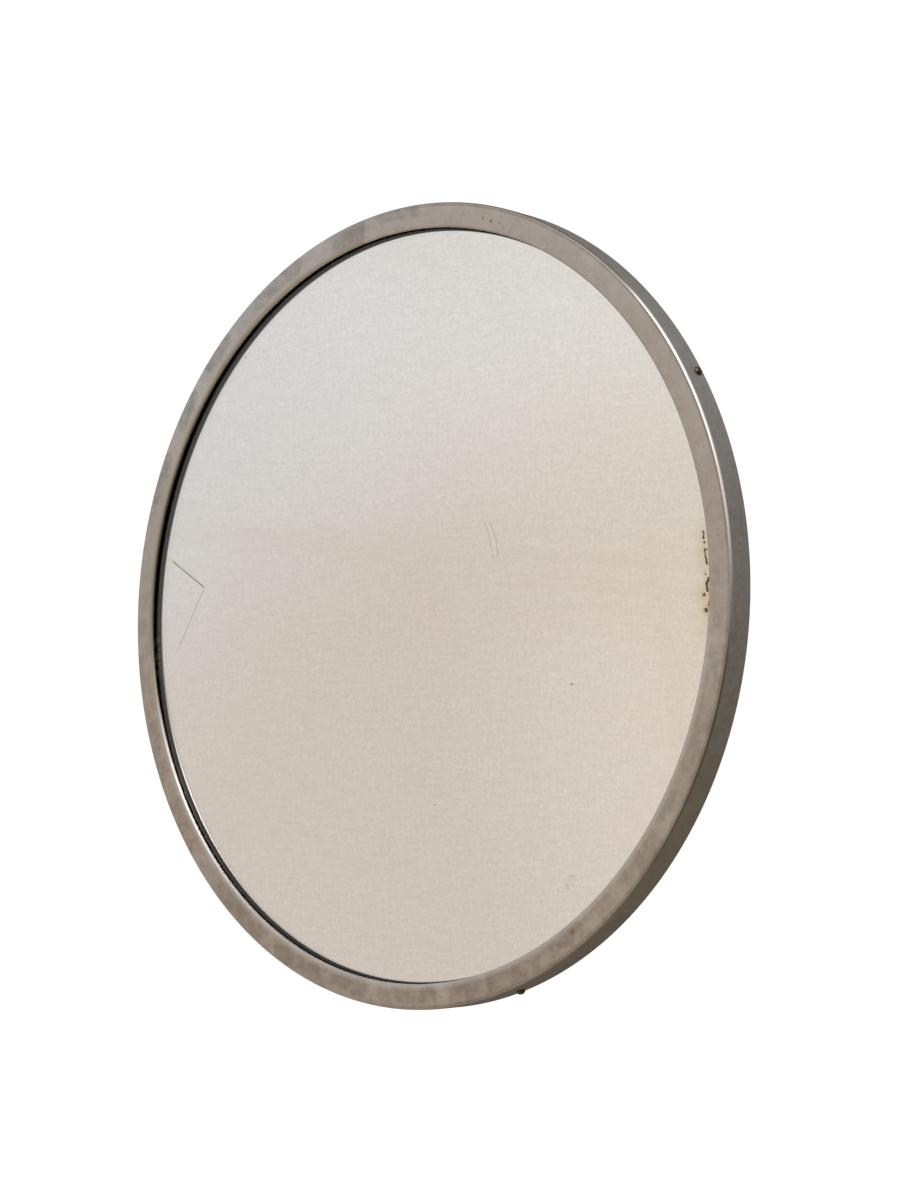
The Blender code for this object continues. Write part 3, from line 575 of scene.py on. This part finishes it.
def panPath(side):                                   # radius and y of one side of the sheet, from the axis out
    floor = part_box("rear_pan")[1].y - side
    ring = rimBackY - side
    bead, wide, deep, press = panMake["bead"], panMake["beadWide"], panMake["beadDeep"], panMake["press"]
    path = [(0, floor), (0.04, floor), (bead - wide * 1.6, floor)]
    for step in range(13):                           # stiffening bead, pressed towards the glass
        share = step / 12
        path.append((bead + wide * (2 * share - 1), floor - deep * (0.5 - 0.5 * math.cos(math.tau * share))))
    path += [(bead + wide * 1.6, floor)]
    for step in range(9):                            # soft shoulder between the dish and the flat ring
        share = step / 8
        rise = (0.5 - 0.5 * math.cos(math.pi * share))
        path.append((panMake["dish"] + (panMake["shoulder"] - panMake["dish"]) * share, floor + (ring - floor) * rise))
    return path


def makeRearPan(surface):
    sheet, bend = panMake["sheet"], panMake["bend"]
    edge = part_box("rear_pan")[1].x
    corner = (edge - bend, rimBackY - bend)
    outline = panPath(0.0)
    outline += arcPoints(corner, bend, 90, 0, 6)
    front = faceY + panMake["flangeBack"]
    outline += [(edge, front + 0.0002), (edge - 0.0002, front), (edge - sheet + 0.0002, front),
                (edge - sheet, front + 0.0002)]
    outline += arcPoints(corner, bend - sheet, 0, 90, 4)
    outline += list(reversed(panPath(sheet)))
    pan = lathe("rearPan", outline, panMake["steps"], closed=False)
    low, high = faceY + 0.015, faceY + 0.04
    for angle in panMake["ventAngles"]:
        x, z = onRim(angle, panMake["vent"])
        carve(pan, drill(panMake["ventHole"], low, high, "Y", (x, 0, z), 32))
    for x, z in boltSpots():
        carve(pan, drill(panMake["boltHole"], low, high, "Y", (x, 0, z), 24))
    bpy.ops.object.shade_smooth_by_angle(angle=math.radians(32))
    return dress(pan, surface, "pan_paint", "mirror_head", "rear_pan")


def boltSpots():                                     # middles of the bracket bolts, as (x, z)
    return [middleOf(f"bracket_washer_{number}") for number in range(1, 5)]


def middleOf(node):
    low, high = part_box(node)
    return (low.x + high.x) / 2, (low.z + high.z) / 2


def wornEdge(place, reach):                          # 1 along edges, fading to 0 at its reach
    rounded = place.make("ShaderNodeBevel", {"samples": 6}, {"Radius": reach})
    facing = place.make("ShaderNodeNewGeometry", out=1)
    return vectorSum(place, "DOT_PRODUCT", rounded, facing, out=1).step(0.992, 0.90)


def paintSurface(name, look):                        # sprayed paint with worn edges, rust runs and settled dust
    made, shader, place, x, y, z = newSurface(name)
    facing = place.make("ShaderNodeTexCoord", out=1)
    upward = Wire(place.tree, place.make("ShaderNodeSeparateXYZ", None, {0: facing}).socket.node.outputs[2])
    broad = noise(place, look["broad"], 4.0, 0.6)
    fine = noise(place, look["fine"], 4.0, 0.65)
    peel = noise(place, 900.0, 2.0, 0.5)
    chipNoise = noise(place, 310.0, 4.0, 0.7)
    edge = wornEdge(place, look["edge"])
    worn = edge * 0.24 + chipNoise
    chip = worn.step(look["chipLow"], look["chipLow"] + 0.04)
    rustRim = worn.step(look["chipLow"] - 0.09, look["chipLow"])
    scuffRun = place.make("ShaderNodeCombineXYZ", None, {0: x * 30.0, 1: y * 260.0, 2: z * 260.0})
    scuff = noise(scuffRun, 1.0, 3.0, 0.6).step(0.64, 0.74)
    drip = place.make("ShaderNodeCombineXYZ", None, {0: x * 85.0, 1: y * 85.0, 2: z * 5.0})
    drip = noise(drip, 1.0, 4.0, 0.6).step(0.53, 0.72) * broad.step(0.36, 0.58)
    dust = (upward * 0.55 + broad * 0.6).step(0.35, 0.95)
    colour = blendColours(broad.step(0.35, 0.68), look["dark"], look["light"])
    colour = blendColours(fine.step(0.40, 0.66) * 0.25, colour, look["dark"])
    colour = blendColours(scuff * 0.25, colour, look["scuff"])
    colour = blendColours(drip * look["drip"], colour, (0.20, 0.155, 0.115))
    colour = blendColours(dust * look["dust"], colour, (0.42, 0.39, 0.34))
    colour = blendColours(rustRim * 0.75, colour, (0.19, 0.085, 0.035))
    colour = blendColours(chip, colour, blendColours(fine.step(0.4, 0.6), (0.26, 0.15, 0.085), (0.36, 0.34, 0.32)))
    rough = look["rough"] + fine * 0.14 - 0.07 + dust * 0.22 + rustRim * 0.2
    height = peel * 0.35 + fine * 0.35 - chip * 1.6 + rustRim * 0.5
    plug(shader, {"Base Color": colour, "Roughness": rough, "Metallic": chip * 0.5,
                  "Normal": bump(height, look["relief"], 0.0003)}, {})
    return made


panLook = {"dark": (0.225, 0.235, 0.235), "light": (0.315, 0.325, 0.320), "scuff": (0.46, 0.46, 0.45), "broad": 9.0,
           "fine": 130.0, "edge": 0.0015, "chipLow": 0.74, "drip": 0.60, "dust": 0.30, "rough": 0.42, "relief": 0.22}
bracketLook = {"dark": (0.070, 0.074, 0.076), "light": (0.120, 0.125, 0.128), "scuff": (0.24, 0.24, 0.24),
               "broad": 40.0, "fine": 220.0, "edge": 0.0016, "chipLow": 0.70, "drip": 0.45, "dust": 0.35,
               "rough": 0.42, "relief": 0.35}
zincLook = {"bright": (0.60, 0.60, 0.585), "dull": (0.40, 0.395, 0.38), "yellow": (0.52, 0.47, 0.36),
            "rust": (0.22, 0.10, 0.045)}


def zincSurface():                                   # plated steel, dulled, rusting where the plate has gone
    made, shader, place, x, y, z = newSurface("dullZinc")
    broad = noise(place, 120.0, 4.0, 0.6)
    fine = noise(place, 900.0, 3.0, 0.6)
    crystal = cells(place, 700.0, 1)
    bloom = noise(place, 260.0, 4.0, 0.65).step(0.50, 0.70)
    rust = (noise(place, 420.0, 4.0, 0.7) + wornEdge(place, 0.0006) * 0.06).step(0.66, 0.76)
    colour = blendColours(bloom, zincLook["bright"], zincLook["dull"])
    colour = blendColours(broad.step(0.45, 0.70) * 0.5, colour, zincLook["yellow"])
    colour = blendColours(broad.step(0.2, 0.9) * 0.12, colour, crystal, "OVERLAY")
    colour = blendColours(rust * 0.8, colour, zincLook["rust"])
    rough = 0.30 + bloom * 0.20 + fine * 0.10 + rust * 0.3
    plug(shader, {"Base Color": colour, "Roughness": rough, "Metallic": 1.0 - rust * 0.8,
                  "Normal": bump(fine * 0.5 + bloom * 0.4 + rust * 0.8, 0.25, 0.0002)}, {})
    return made


def bronzeSurface():                                 # brass screws gone nearly black, bright only where rubbed
    made, shader, place, x, y, z = newSurface("blackenedBrass")
    tarnish = noise(place, 500.0, 4.0, 0.65)
    rubbed = wornEdge(place, 0.0005) * tarnish.step(0.35, 0.60)
    colour = blendColours(tarnish.step(0.35, 0.65), (0.050, 0.038, 0.028), (0.135, 0.098, 0.068))
    colour = blendColours(rubbed * 0.6, colour, (0.46, 0.34, 0.20))
    plug(shader, {"Base Color": colour, "Roughness": 0.30 + tarnish * 0.16,
                  "Normal": bump(tarnish, 0.25, 0.0002)}, {"Metallic": 1.0})
    return made


def corkSurface():                                   # pressed cork granules
    made, shader, place, x, y, z = newSurface("pressedCork")
    grain = cells(place, 600.0, 1)
    gap = cells(place, 600.0).step(0.25, 0.55)
    speck = noise(place, 1400.0, 3.0, 0.6)
    colour = blendColours(speck.step(0.35, 0.65), (0.36, 0.235, 0.125), (0.25, 0.15, 0.075))
    colour = blendColours(gap * 0.35, colour, grain, "SOFT_LIGHT")
    colour = blendColours(gap * 0.5, colour, (0.10, 0.06, 0.03))
    plug(shader, {"Base Color": colour, "Roughness": 0.82 + speck * 0.12, "Normal": bump(1.0 - gap, 0.5, 0.0004)}, {})
    return made


def nylonSurface():                                  # turned nylon, yellowed and a little greasy
    made, shader, place, x, y, z = newSurface("yellowedNylon")
    flatPart = vectorSum(place, "SUBTRACT", place, (0.0, panAxisY, 0.0))
    turned = vectorSum(place, "LENGTH", vectorSum(place, "MULTIPLY", flatPart, (1.0, 1.0, 0.0)), out=1)
    lines = noise(place.make("ShaderNodeCombineXYZ", None, {0: turned * 4000.0, 2: z * 3000.0}), 1.0, 2.0)
    grease = noise(place, 180.0, 4.0, 0.6).step(0.48, 0.70)
    colour = blendColours(lines.step(0.3, 0.7) * 0.4, (0.68, 0.65, 0.55), (0.58, 0.54, 0.44))
    colour = blendColours(grease * 0.7, colour, (0.16, 0.13, 0.09))
    plug(shader, {"Base Color": colour, "Roughness": 0.48 - grease * 0.2, "Normal": bump(lines, 0.2, 0.0001)}, {})
    return made


def thread(radius, low, high, pitch):                # outline of a threaded stretch, as (radius, along)
    points = []
    for turn in range(int((high - low) / pitch)):
        start = low + turn * pitch
        points += [(radius * 0.90, start), (radius, start + pitch * 0.45), (radius, start + pitch * 0.60)]
    return points


def hexBlock(name, flats, low, high, axis, centre, lowChamfer=True):     # hexagon with turned corners
    corner = flats / math.sqrt(3)
    block = slab(name, arcPoints((0, 0), corner, 0, 360, 6)[:-1], low, high, axis, centre)
    inside, slope = flats * 0.475, (corner * 1.03 - flats * 0.475) * 0.5
    outline = [(0, low), (inside, low), (corner * 1.03, low + slope)] if lowChamfer else [(0, low), (corner * 1.03, low)]
    outline += [(corner * 1.03, high - slope), (inside, high), (0, high)]
    return carve(block, lathe("chamfer", outline, 64, axis, centre, closed=False), operation="INTERSECT")


def makeNut(name, size, low, high, axis, centre):
    nut = hexBlock(name, size["flats"], low, high, axis, centre)
    bore, mouth = size["radius"] + 0.0002, size["radius"] * 1.12
    sink = mouth - bore
    outline = [(0, low - 0.001), (mouth, low - 0.001), (mouth, low), (bore, low + sink), (bore, high - sink),
               (mouth, high), (mouth, high + 0.001), (0, high + 0.001)]
    carve(nut, lathe("bore", outline, 32, axis, centre, closed=False))
    return soften(nut, 0.00025, 2)


def makeBolt(name, size, low, high, tip, axis, centre):      # head from low to high, its shaft running to tip
    bolt = hexBlock(name, size["flats"], min(low, high), max(low, high), axis, centre, lowChamfer=high < low)
    soften(bolt, 0.0003, 2)
    radius, pitch = size["radius"], size["pitch"]
    forward = 1 if tip > low else -1
    length = abs(tip - low)
    threaded = length - size["thread"]
    outline = [(0, -0.001), (radius, -0.001), (radius, threaded)]
    outline += [(ring, along) for ring, along in thread(radius, threaded + 0.0003, length - pitch, pitch)]
    outline += [(radius * 0.90, length - pitch * 0.5), (radius * 0.80, length), (0, length)]
    outline = [(ring, low + forward * along) for ring, along in outline]
    shaft = lathe("shaft", outline, 32, axis, centre, closed=False, sharpAngle=50)
    return carve(bolt, shaft, operation="UNION")


def makeWasher(name, inner, outer, low, high, axis, centre, chamfer=0.0003):
    outline = [(inner, low + chamfer), (inner + chamfer, low), (outer - chamfer, low), (outer, low + chamfer),
               (outer, high - chamfer), (outer - chamfer, high), (inner + chamfer, high), (inner, high - chamfer)]
    return lathe(name, outline, 64, axis, centre, sharpAngle=30)


screwMake = {"radius": 0.0035, "height": 0.0024, "shaft": 0.0020, "length": 0.0075, "slot": 0.0009,
             "slotFloor": 0.0013, "lift": 0.0003, "pitch": 0.0007}


def makeRimScrews(surface):
    wide, high, shaft = screwMake["radius"], screwMake["height"], screwMake["shaft"]
    dome = (wide ** 2 + high ** 2) / (2 * high)
    edge = math.degrees(math.asin(wide / dome))
    lift = screwMake["lift"]
    outline = [(0, -screwMake["length"]), (shaft * 0.7, -screwMake["length"])]
    outline += thread(shaft, -screwMake["length"] + 0.0004, -0.0006, screwMake["pitch"])
    outline += [(shaft, -0.0003), (shaft, 0), (wide - 0.0004, 0), (wide - 0.0001, 0.0002)]
    outline += arcPoints((0, high - dome), dome, 90 - edge * 0.95, 90, 9)[:-1] + [(0, high)]
    screw = lathe("rimScrew", [(radius, along + lift) for radius, along in outline], 40, "Z", closed=False)
    half, reach = screwMake["slot"] / 2, wide * 1.3
    sides = [(-half, -reach), (half, -reach), (half, reach), (-half, reach)]
    carve(screw, slab("slot", sides, screwMake["slotFloor"] + lift, reach, "Z"))
    soften(screw, 0.00012, 2)
    for number, angle in enumerate(rimMake["screwAngles"], start=1):
        turned = outward(angle, rimRadius, faceY + rimMake["screwBack"])
        turned = turned @ Matrix.Rotation(math.radians(angle * 1.7 + 20), 4, "Z")    # no two slots point the same way
        placed = copyTo(screw, f"rimScrew{number}", turned)
        dress(placed, surface, "brass", "mirror_head", f"rim_screw_{number}")
    bpy.data.objects.remove(screw)


bracketMake = {"sheet": 0.003, "bend": 0.005, "rootHalf": 0.034, "earEnd": 0.020, "bore": 0.0053, "boltHole": 0.0033}
bracketBolt = {"flats": 0.010, "radius": 0.003, "pitch": 0.0010, "thread": 0.012}
tiltBolt = {"flats": 0.017, "radius": 0.005, "pitch": 0.0015, "thread": 0.018}
panBolt = {"flats": 0.019, "radius": 0.006, "pitch": 0.00175, "thread": 0.022}


def makeBackBracket(surface):                        # folded U: a web on the pan and two ears for the tilt bolt
    low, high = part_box("back_bracket")
    half, sheet, bend = high.x, bracketMake["sheet"], bracketMake["bend"]
    web, inner, end, tall = low.y, half - sheet, high.y, high.z
    left, right = (-half + bend, web + bend), (half - bend, web + bend)
    outline = [(-half, end)] + arcPoints(left, bend, 180, 270, 8) + arcPoints(right, bend, 270, 360, 8)
    outline += [(half, end), (inner, end)]
    outline += arcPoints(right, bend - sheet, 360, 270, 6) + arcPoints(left, bend - sheet, 270, 180, 6)
    outline += [(-inner, end)]
    bracket = slab("backBracket", outline, -tall, tall, "Z")
    root, past, turnY = bracketMake["rootHalf"], 0.002, web + bend + 0.001
    side = [(web - past, -tall - past), (turnY, -tall - past), (turnY + 0.002, -root)]
    side += arcPoints((tiltAxisY, 0), bracketMake["earEnd"], -70, 70, 28)
    side += [(turnY + 0.002, root), (turnY, tall + past), (web - past, tall + past)]
    carve(bracket, slab("sideShape", side, -0.04, 0.04, "X"), operation="INTERSECT")
    carve(bracket, drill(bracketMake["bore"], -0.05, 0.05, "X", (0, tiltAxisY, 0)))
    for x, z in boltSpots():
        carve(bracket, drill(bracketMake["boltHole"], web - 0.01, web + 0.01, "Y", (x, 0, z), 24))
    soften(bracket, 0.0006)
    return dress(bracket, surface, "bracket_paint", "mirror_head", "back_bracket")


def makeBracketFasteners(surface):
    x, z = boltSpots()[0]
    head, ring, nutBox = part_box("bracket_bolt_1"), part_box("bracket_washer_1"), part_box("bracket_nut_1")
    seat = nutBox[0].y                                # washer's outer face
    headLow = head[0].y
    headHigh = headLow + 0.004
    bolt = makeBolt("bracketBolt", bracketBolt, headHigh, headLow, head[1].y, "Y", (0, 0, 0))
    washer = makeWasher("bracketWasher", bracketBolt["radius"] + 0.0003, (ring[1].x - ring[0].x) / 2, ring[0].y,
                        ring[1].y, "Y", (0, 0, 0), 0.00025)
    nut = makeNut("bracketNut", bracketBolt, seat, nutBox[1].y, "Y", (0, 0, 0))
    for number, (x, z) in enumerate(boltSpots(), start=1):
        for source, kind, node in ((bolt, "bracketBolt", "bracket_bolt"), (washer, "bracketWasher", "bracket_washer"),
                                   (nut, "bracketNut", "bracket_nut")):
            turn = Matrix.Rotation(math.radians(number * 37.0), 4, "Y") if source is nut else Matrix()
            placed = copyTo(source, f"{kind}{number}", Matrix.Translation((x, 0, z)) @ turn)
            dress(placed, surface, "zinc", "mirror_head", f"{node}_{number}")
    for source in (bolt, washer, nut):
        bpy.data.objects.remove(source)


def makeTiltFasteners(surface):
    centre = (0, tiltAxisY, 0)
    for side in ("left", "right"):
        low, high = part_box(f"tilt_washer_{side}")
        washer = makeWasher(f"tiltWasher{side.title()}", tiltBolt["radius"] + 0.0003, (high.z - low.z) / 2, low.x, high.x,
                            "X", centre)
        dress(washer, surface, "zinc", "mirror_head", f"tilt_washer_{side}")
    low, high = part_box("tilt_bolt")
    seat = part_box("tilt_washer_right")[1].x + 0.0003
    bolt = makeBolt("tiltBolt", tiltBolt, seat, high.x, low.x, "X", centre)
    dress(bolt, surface, "zinc", "mirror_head", "tilt_bolt")
    low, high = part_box("tilt_nut")
    nut = makeNut("tiltNut", tiltBolt, low.x, high.x, "X", centre)
    dress(nut, surface, "zinc", "mirror_head", "tilt_nut")


armMake = {"barrel": 0.017, "tube": 0.0135, "wall": 0.0025, "chamfer": 0.0008, "bush": 0.016, "panBore": 0.0063,
           "tiltBore": 0.0053, "gap": 0.0003}


def makeArm(surface, bushSurface):
    barrel, tube, chamfer = armMake["barrel"], armMake["tube"], armMake["chamfer"]
    panCentre, tiltCentre = (0, panAxisY, 0), (0, tiltAxisY, 0)
    low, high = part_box("pan_barrel")
    piece = makeWasher("panBarrel", armMake["panBore"], barrel, low.z, high.z, "Z", panCentre, chamfer)
    dress(piece, surface, "bracket_paint", "swivel_arm", "pan_barrel")
    low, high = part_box("tilt_barrel")
    piece = makeWasher("tiltBarrel", armMake["tiltBore"], barrel, low.x, high.x, "X", tiltCentre, chamfer)
    dress(piece, surface, "bracket_paint", "swivel_arm", "tilt_barrel")
    outline = [(tube - armMake["wall"], tiltAxisY), (tube, tiltAxisY), (tube, panAxisY), (tube - armMake["wall"], panAxisY)]
    piece = lathe("armTube", outline, 64, "Y")
    carve(piece, drill(barrel + armMake["gap"], -0.03, 0.03, "Z", panCentre, 64),
          drill(barrel + armMake["gap"], -0.03, 0.03, "X", tiltCentre, 64))
    bpy.ops.object.shade_smooth_by_angle(angle=math.radians(32))
    dress(piece, surface, "bracket_paint", "swivel_arm", "arm_tube")
    for side in ("upper", "lower"):
        low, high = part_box(f"{side}_bush")
        bush = makeWasher(f"{side}Bush", armMake["panBore"], armMake["bush"], low.z, high.z, "Z", panCentre, 0.0002)
        dress(bush, bushSurface, "nylon", "swivel_arm", f"{side}_bush")


weldMake = {"radius": 0.0019, "ripple": 0.0017, "points": 5, "swell": 0.14}


def weldBead(name, route, surface, body, radius=weldMake["radius"]):   # a rippled bead along a closed route
    lengths = [0.0]
    for before, after in zip(route, route[1:] + route[:1]):
        lengths.append(lengths[-1] + (Vector(after) - Vector(before)).length)
    count = round(lengths[-1] / weldMake["ripple"]) * weldMake["points"]
    deselect()
    bpy.ops.curve.primitive_nurbs_path_add()
    obj = bpy.context.object
    obj.name = obj.data.name = name
    obj.data.splines.clear()
    line = obj.data.splines.new("POLY")
    line.points.add(count - 1)
    line.use_cyclic_u = True
    leg = 0
    for number, point in enumerate(line.points):
        along = lengths[-1] * number / count
        while lengths[leg + 1] < along:
            leg += 1
        share = (along - lengths[leg]) / (lengths[leg + 1] - lengths[leg])
        place = Vector(route[leg]).lerp(Vector(route[(leg + 1) % len(route)]), share)
        point.co = (*place, 1.0)
        phase = number % weldMake["points"] / weldMake["points"]
        wander = 0.05 * math.sin(along * 410.0) + 0.04 * math.sin(along * 970.0 + 1.3)
        point.radius = 1.0 - weldMake["swell"] * phase + wander
    obj.data.dimensions = "3D"
    obj.data.bevel_depth = radius
    obj.data.bevel_resolution = 3
    bpy.ops.object.convert(target="MESH")
    bead = bpy.context.object
    bpy.ops.object.mode_set(mode="EDIT")
    tidyMesh(bead, 60)
    return dress(bead, surface, "bracket_paint", body)


def makeArmWelds(surface):                           # the saddles where the tube meets the two barrels
    tube, barrel = armMake["tube"] + 0.0006, armMake["barrel"] + 0.0006
    turns = [math.tau * step / 72 for step in range(72)]
    rear = [(tube * math.cos(t), panAxisY - math.sqrt(barrel ** 2 - (tube * math.cos(t)) ** 2), tube * math.sin(t))
            for t in turns]
    front = [(tube * math.cos(t), tiltAxisY + math.sqrt(barrel ** 2 - (tube * math.sin(t)) ** 2), tube * math.sin(t))
             for t in turns]
    weldBead("rearArmWeld", rear, surface, "swivel_arm")
    weldBead("frontArmWeld", front, surface, "swivel_arm")


plateMake = {"corner": 0.010, "hole": 0.0055, "holeX": 0.045, "holeZ": 0.070, "edge": 0.0009}
lugMake = {"edge": 0.0007, "bore": 0.0063}


def makeWallPlate(surface):
    low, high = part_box("wall_plate")
    halfX, halfZ, corner = high.x, high.z, plateMake["corner"]
    outline = []
    for sideX, sideZ, start in ((1, 1, 0), (-1, 1, 90), (-1, -1, 180), (1, -1, 270)):
        outline += arcPoints((sideX * (halfX - corner), sideZ * (halfZ - corner)), corner, start, start + 90, 10)
    plate = slab("wallPlate", outline, low.y, high.y, "Y")
    for x in (-plateMake["holeX"], plateMake["holeX"]):
        for z in (-plateMake["holeZ"], plateMake["holeZ"]):
            carve(plate, drill(plateMake["hole"], -0.02, 0.02, "Y", (x, 0, z)))
    soften(plate, plateMake["edge"])
    return dress(plate, surface, "bracket_paint", "wall_bracket", "wall_plate")


def makeLugs(surface):
    for side in ("upper", "lower"):
        low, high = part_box(f"{side}_lug")
        outline = [(high.x, high.y), (-high.x, high.y)] + arcPoints((0, panAxisY), high.x, 180, 360, 40)
        lug = slab(f"{side}Lug", outline, low.z, high.z, "Z")
        carve(lug, drill(lugMake["bore"], low.z - 0.01, high.z + 0.01, "Z", (0, panAxisY, 0)))
        soften(lug, lugMake["edge"])
        dress(lug, surface, "bracket_paint", "wall_bracket", f"{side}_lug")
        out, root, run = 0.0007, high.y - 0.0008, high.x - 0.002
        route = [(-run, root, high.z + out), (run, root, high.z + out), (high.x + out, root, high.z - 0.0015),
                 (high.x + out, root, low.z + 0.0015), (run, root, low.z - out), (-run, root, low.z - out),
                 (-high.x - out, root, low.z + 0.0015), (-high.x - out, root, high.z - 0.0015)]
        weldBead(f"{side}LugWeld", route, surface, "wall_bracket", 0.0021)


def makePanFasteners(surface):
    centre = (0, panAxisY, 0)
    for side in ("upper", "lower"):
        low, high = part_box(f"pan_washer_{side}")
        washer = makeWasher(f"panWasher{side.title()}", panBolt["radius"] + 0.0003, (high.x - low.x) / 2, low.z, high.z,
                            "Z", centre)
        dress(washer, surface, "zinc", "wall_bracket", f"pan_washer_{side}")
    low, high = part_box("pan_bolt")
    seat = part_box("pan_washer_upper")[1].z + 0.0003
    bolt = makeBolt("panBolt", panBolt, seat, high.z, low.z, "Z", centre)
    dress(bolt, surface, "zinc", "wall_bracket", "pan_bolt")
    low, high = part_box("pan_nut")
    nut = makeNut("panNut", panBolt, low.z, high.z, "Z", centre)
    dress(nut, surface, "zinc", "wall_bracket", "pan_nut")


def makeStage():
    deselect()
    bpy.ops.mesh.primitive_circle_add(vertices=128, radius=6.0, fill_type="NGON", location=(0, faceY, -1.6))
    floor = bpy.context.object
    floor.name = "stageFloor"
    made, shader, place, x, y, z = newSurface("paleFloor")
    tone = noise(place, 3.0, 3.0, 0.6)
    colour = blendColours(tone.step(0.3, 0.7), (0.83, 0.82, 0.80), (0.80, 0.79, 0.77))
    plug(shader, {"Base Color": colour}, {"Roughness": 0.9})
    floor.data.materials.append(made)
    floor.visible_glossy = floor.visible_transmission = False


sky = {"backdrop": (1.06, 1.06, 1.06), "warm": (0.725, 0.655, 0.595), "high": (0.84, 0.82, 0.81),
       "left": (0.770, 0.765, 0.765), "bright": (0.82, 0.75, 0.67), "rearLow": (0.31, 0.265, 0.19),
       "rearLevel": (0.42, 0.39, 0.37), "rearHigh": (0.63, 0.635, 0.65), "rearLeft": (0.20, 0.195, 0.21),
       "shade": (0.12, 0.115, 0.105)}


def makeSky():                                       # what the metal and the mirror reflect; the camera sees a plain backdrop
    world = bpy.data.worlds.new("studioSky")
    bpy.context.scene.world = world
    world.use_nodes = True
    wire = Wire(world.node_tree)
    toward = wire.make("ShaderNodeTexCoord", out=0)

    def facing(x, y, z):
        return vectorSum(toward, "DOT_PRODUCT", toward, tuple(Vector((x, y, z)).normalized()), out=1)

    level = facing(0, 0, 1)
    front = blendColours(level.step(0.05, 0.36), sky["warm"], sky["high"])
    front = blendColours(facing(-1, 0, 0.9).step(0.55, 0.86), front, sky["left"])
    front = blendColours(facing(0, -1, 0).step(0.74, 0.95) * level.step(0.4, 0.0), front, sky["bright"])
    rear = blendColours(level.step(-0.60, 0.0), sky["rearLow"], sky["rearLevel"])
    rear = blendColours(level.step(0.22, 0.62), rear, sky["rearHigh"])
    rear = blendColours(facing(-0.95, 0.28, 0.14).step(0.2, 0.6), rear, sky["rearLeft"])
    colour = blendColours(facing(0.2, 1, 0).step(-0.05, 0.45), front, rear)
    shade = facing(0.85, -0.5, -0.15).step(0.45, 0.80) * level.step(0.24, 0.12)
    colour = blendColours(shade, colour, sky["shade"])
    seen = wire.make("ShaderNodeLightPath", out=0)
    colour = blendColours(seen, colour, sky["backdrop"])
    back = world.node_tree.nodes["Background"]
    world.node_tree.links.new(colour.socket, back.inputs["Color"])
    back.inputs["Strength"].default_value = 1.0


def makeLight(name, place, aim, size, power, mirrored):
    lamp = bpy.data.lights.new(name, "AREA")
    lamp.shape = "RECTANGLE"
    lamp.size, lamp.size_y = size
    lamp.energy = power
    obj = bpy.data.objects.new(name, lamp)
    obj.location = place
    obj.rotation_euler = (Vector(place) - Vector(aim)).to_track_quat("Z", "Y").to_euler()
    obj.visible_camera = False
    obj.visible_glossy = mirrored
    bpy.context.scene.collection.objects.link(obj)


view = {"lens": 72.0, "right": 1.2204, "front": 1.3008, "below": 0.1440, "yaw": 41.995, "pitch": 4.684}


def makeCamera():
    camera = bpy.data.cameras.new("camera")
    camera.lens = view["lens"]
    camera.sensor_width = 36.0
    obj = bpy.data.objects.new("camera", camera)
    obj.location = (view["right"], faceY - view["front"], -view["below"])
    obj.rotation_euler = (math.radians(90 + view["pitch"]), 0, math.radians(view["yaw"]))
    bpy.context.scene.collection.objects.link(obj)
    bpy.context.scene.camera = obj
    bpy.context.scene.view_settings.view_transform = "Standard"


print("mirror head")
zinc = zincSurface()
rubber = rubberSurface()
makeRim(rimSurface())
makeGlass(glassSurface())
makeSilver(silverSurface())
makeGasket(rubber)
makeRimScrews(bronzeSurface())
paint(corkSurface(), "packing_ring")
paint(zinc, "stiffener_plate", *[f"rim_nut_{number}" for number in range(1, 5)])

print("rear pan and its bracket")
bracketPaint = paintSurface("bracketPaint", bracketLook)
makeRearPan(paintSurface("panEnamel", panLook))
makeBackBracket(bracketPaint)
makeBracketFasteners(zinc)
makeTiltFasteners(zinc)

print("swivel arm")
makeArm(bracketPaint, nylonSurface())
makeArmWelds(bracketPaint)

print("wall bracket")
makeWallPlate(bracketPaint)
makeLugs(bracketPaint)
makePanFasteners(zinc)

print("stage, light and camera")
makeStage()
makeSky()
makeLight("overheadSoftbox", (0.9, faceY - 1.4, 1.7), (0, faceY, 0), (1.2, 0.9), 26.0, True)
makeLight("rearSoftbox", (-1.6, 1.5, 1.6), (0, 0, 0), (1.4, 1.4), 30.0, False)
makeCamera()
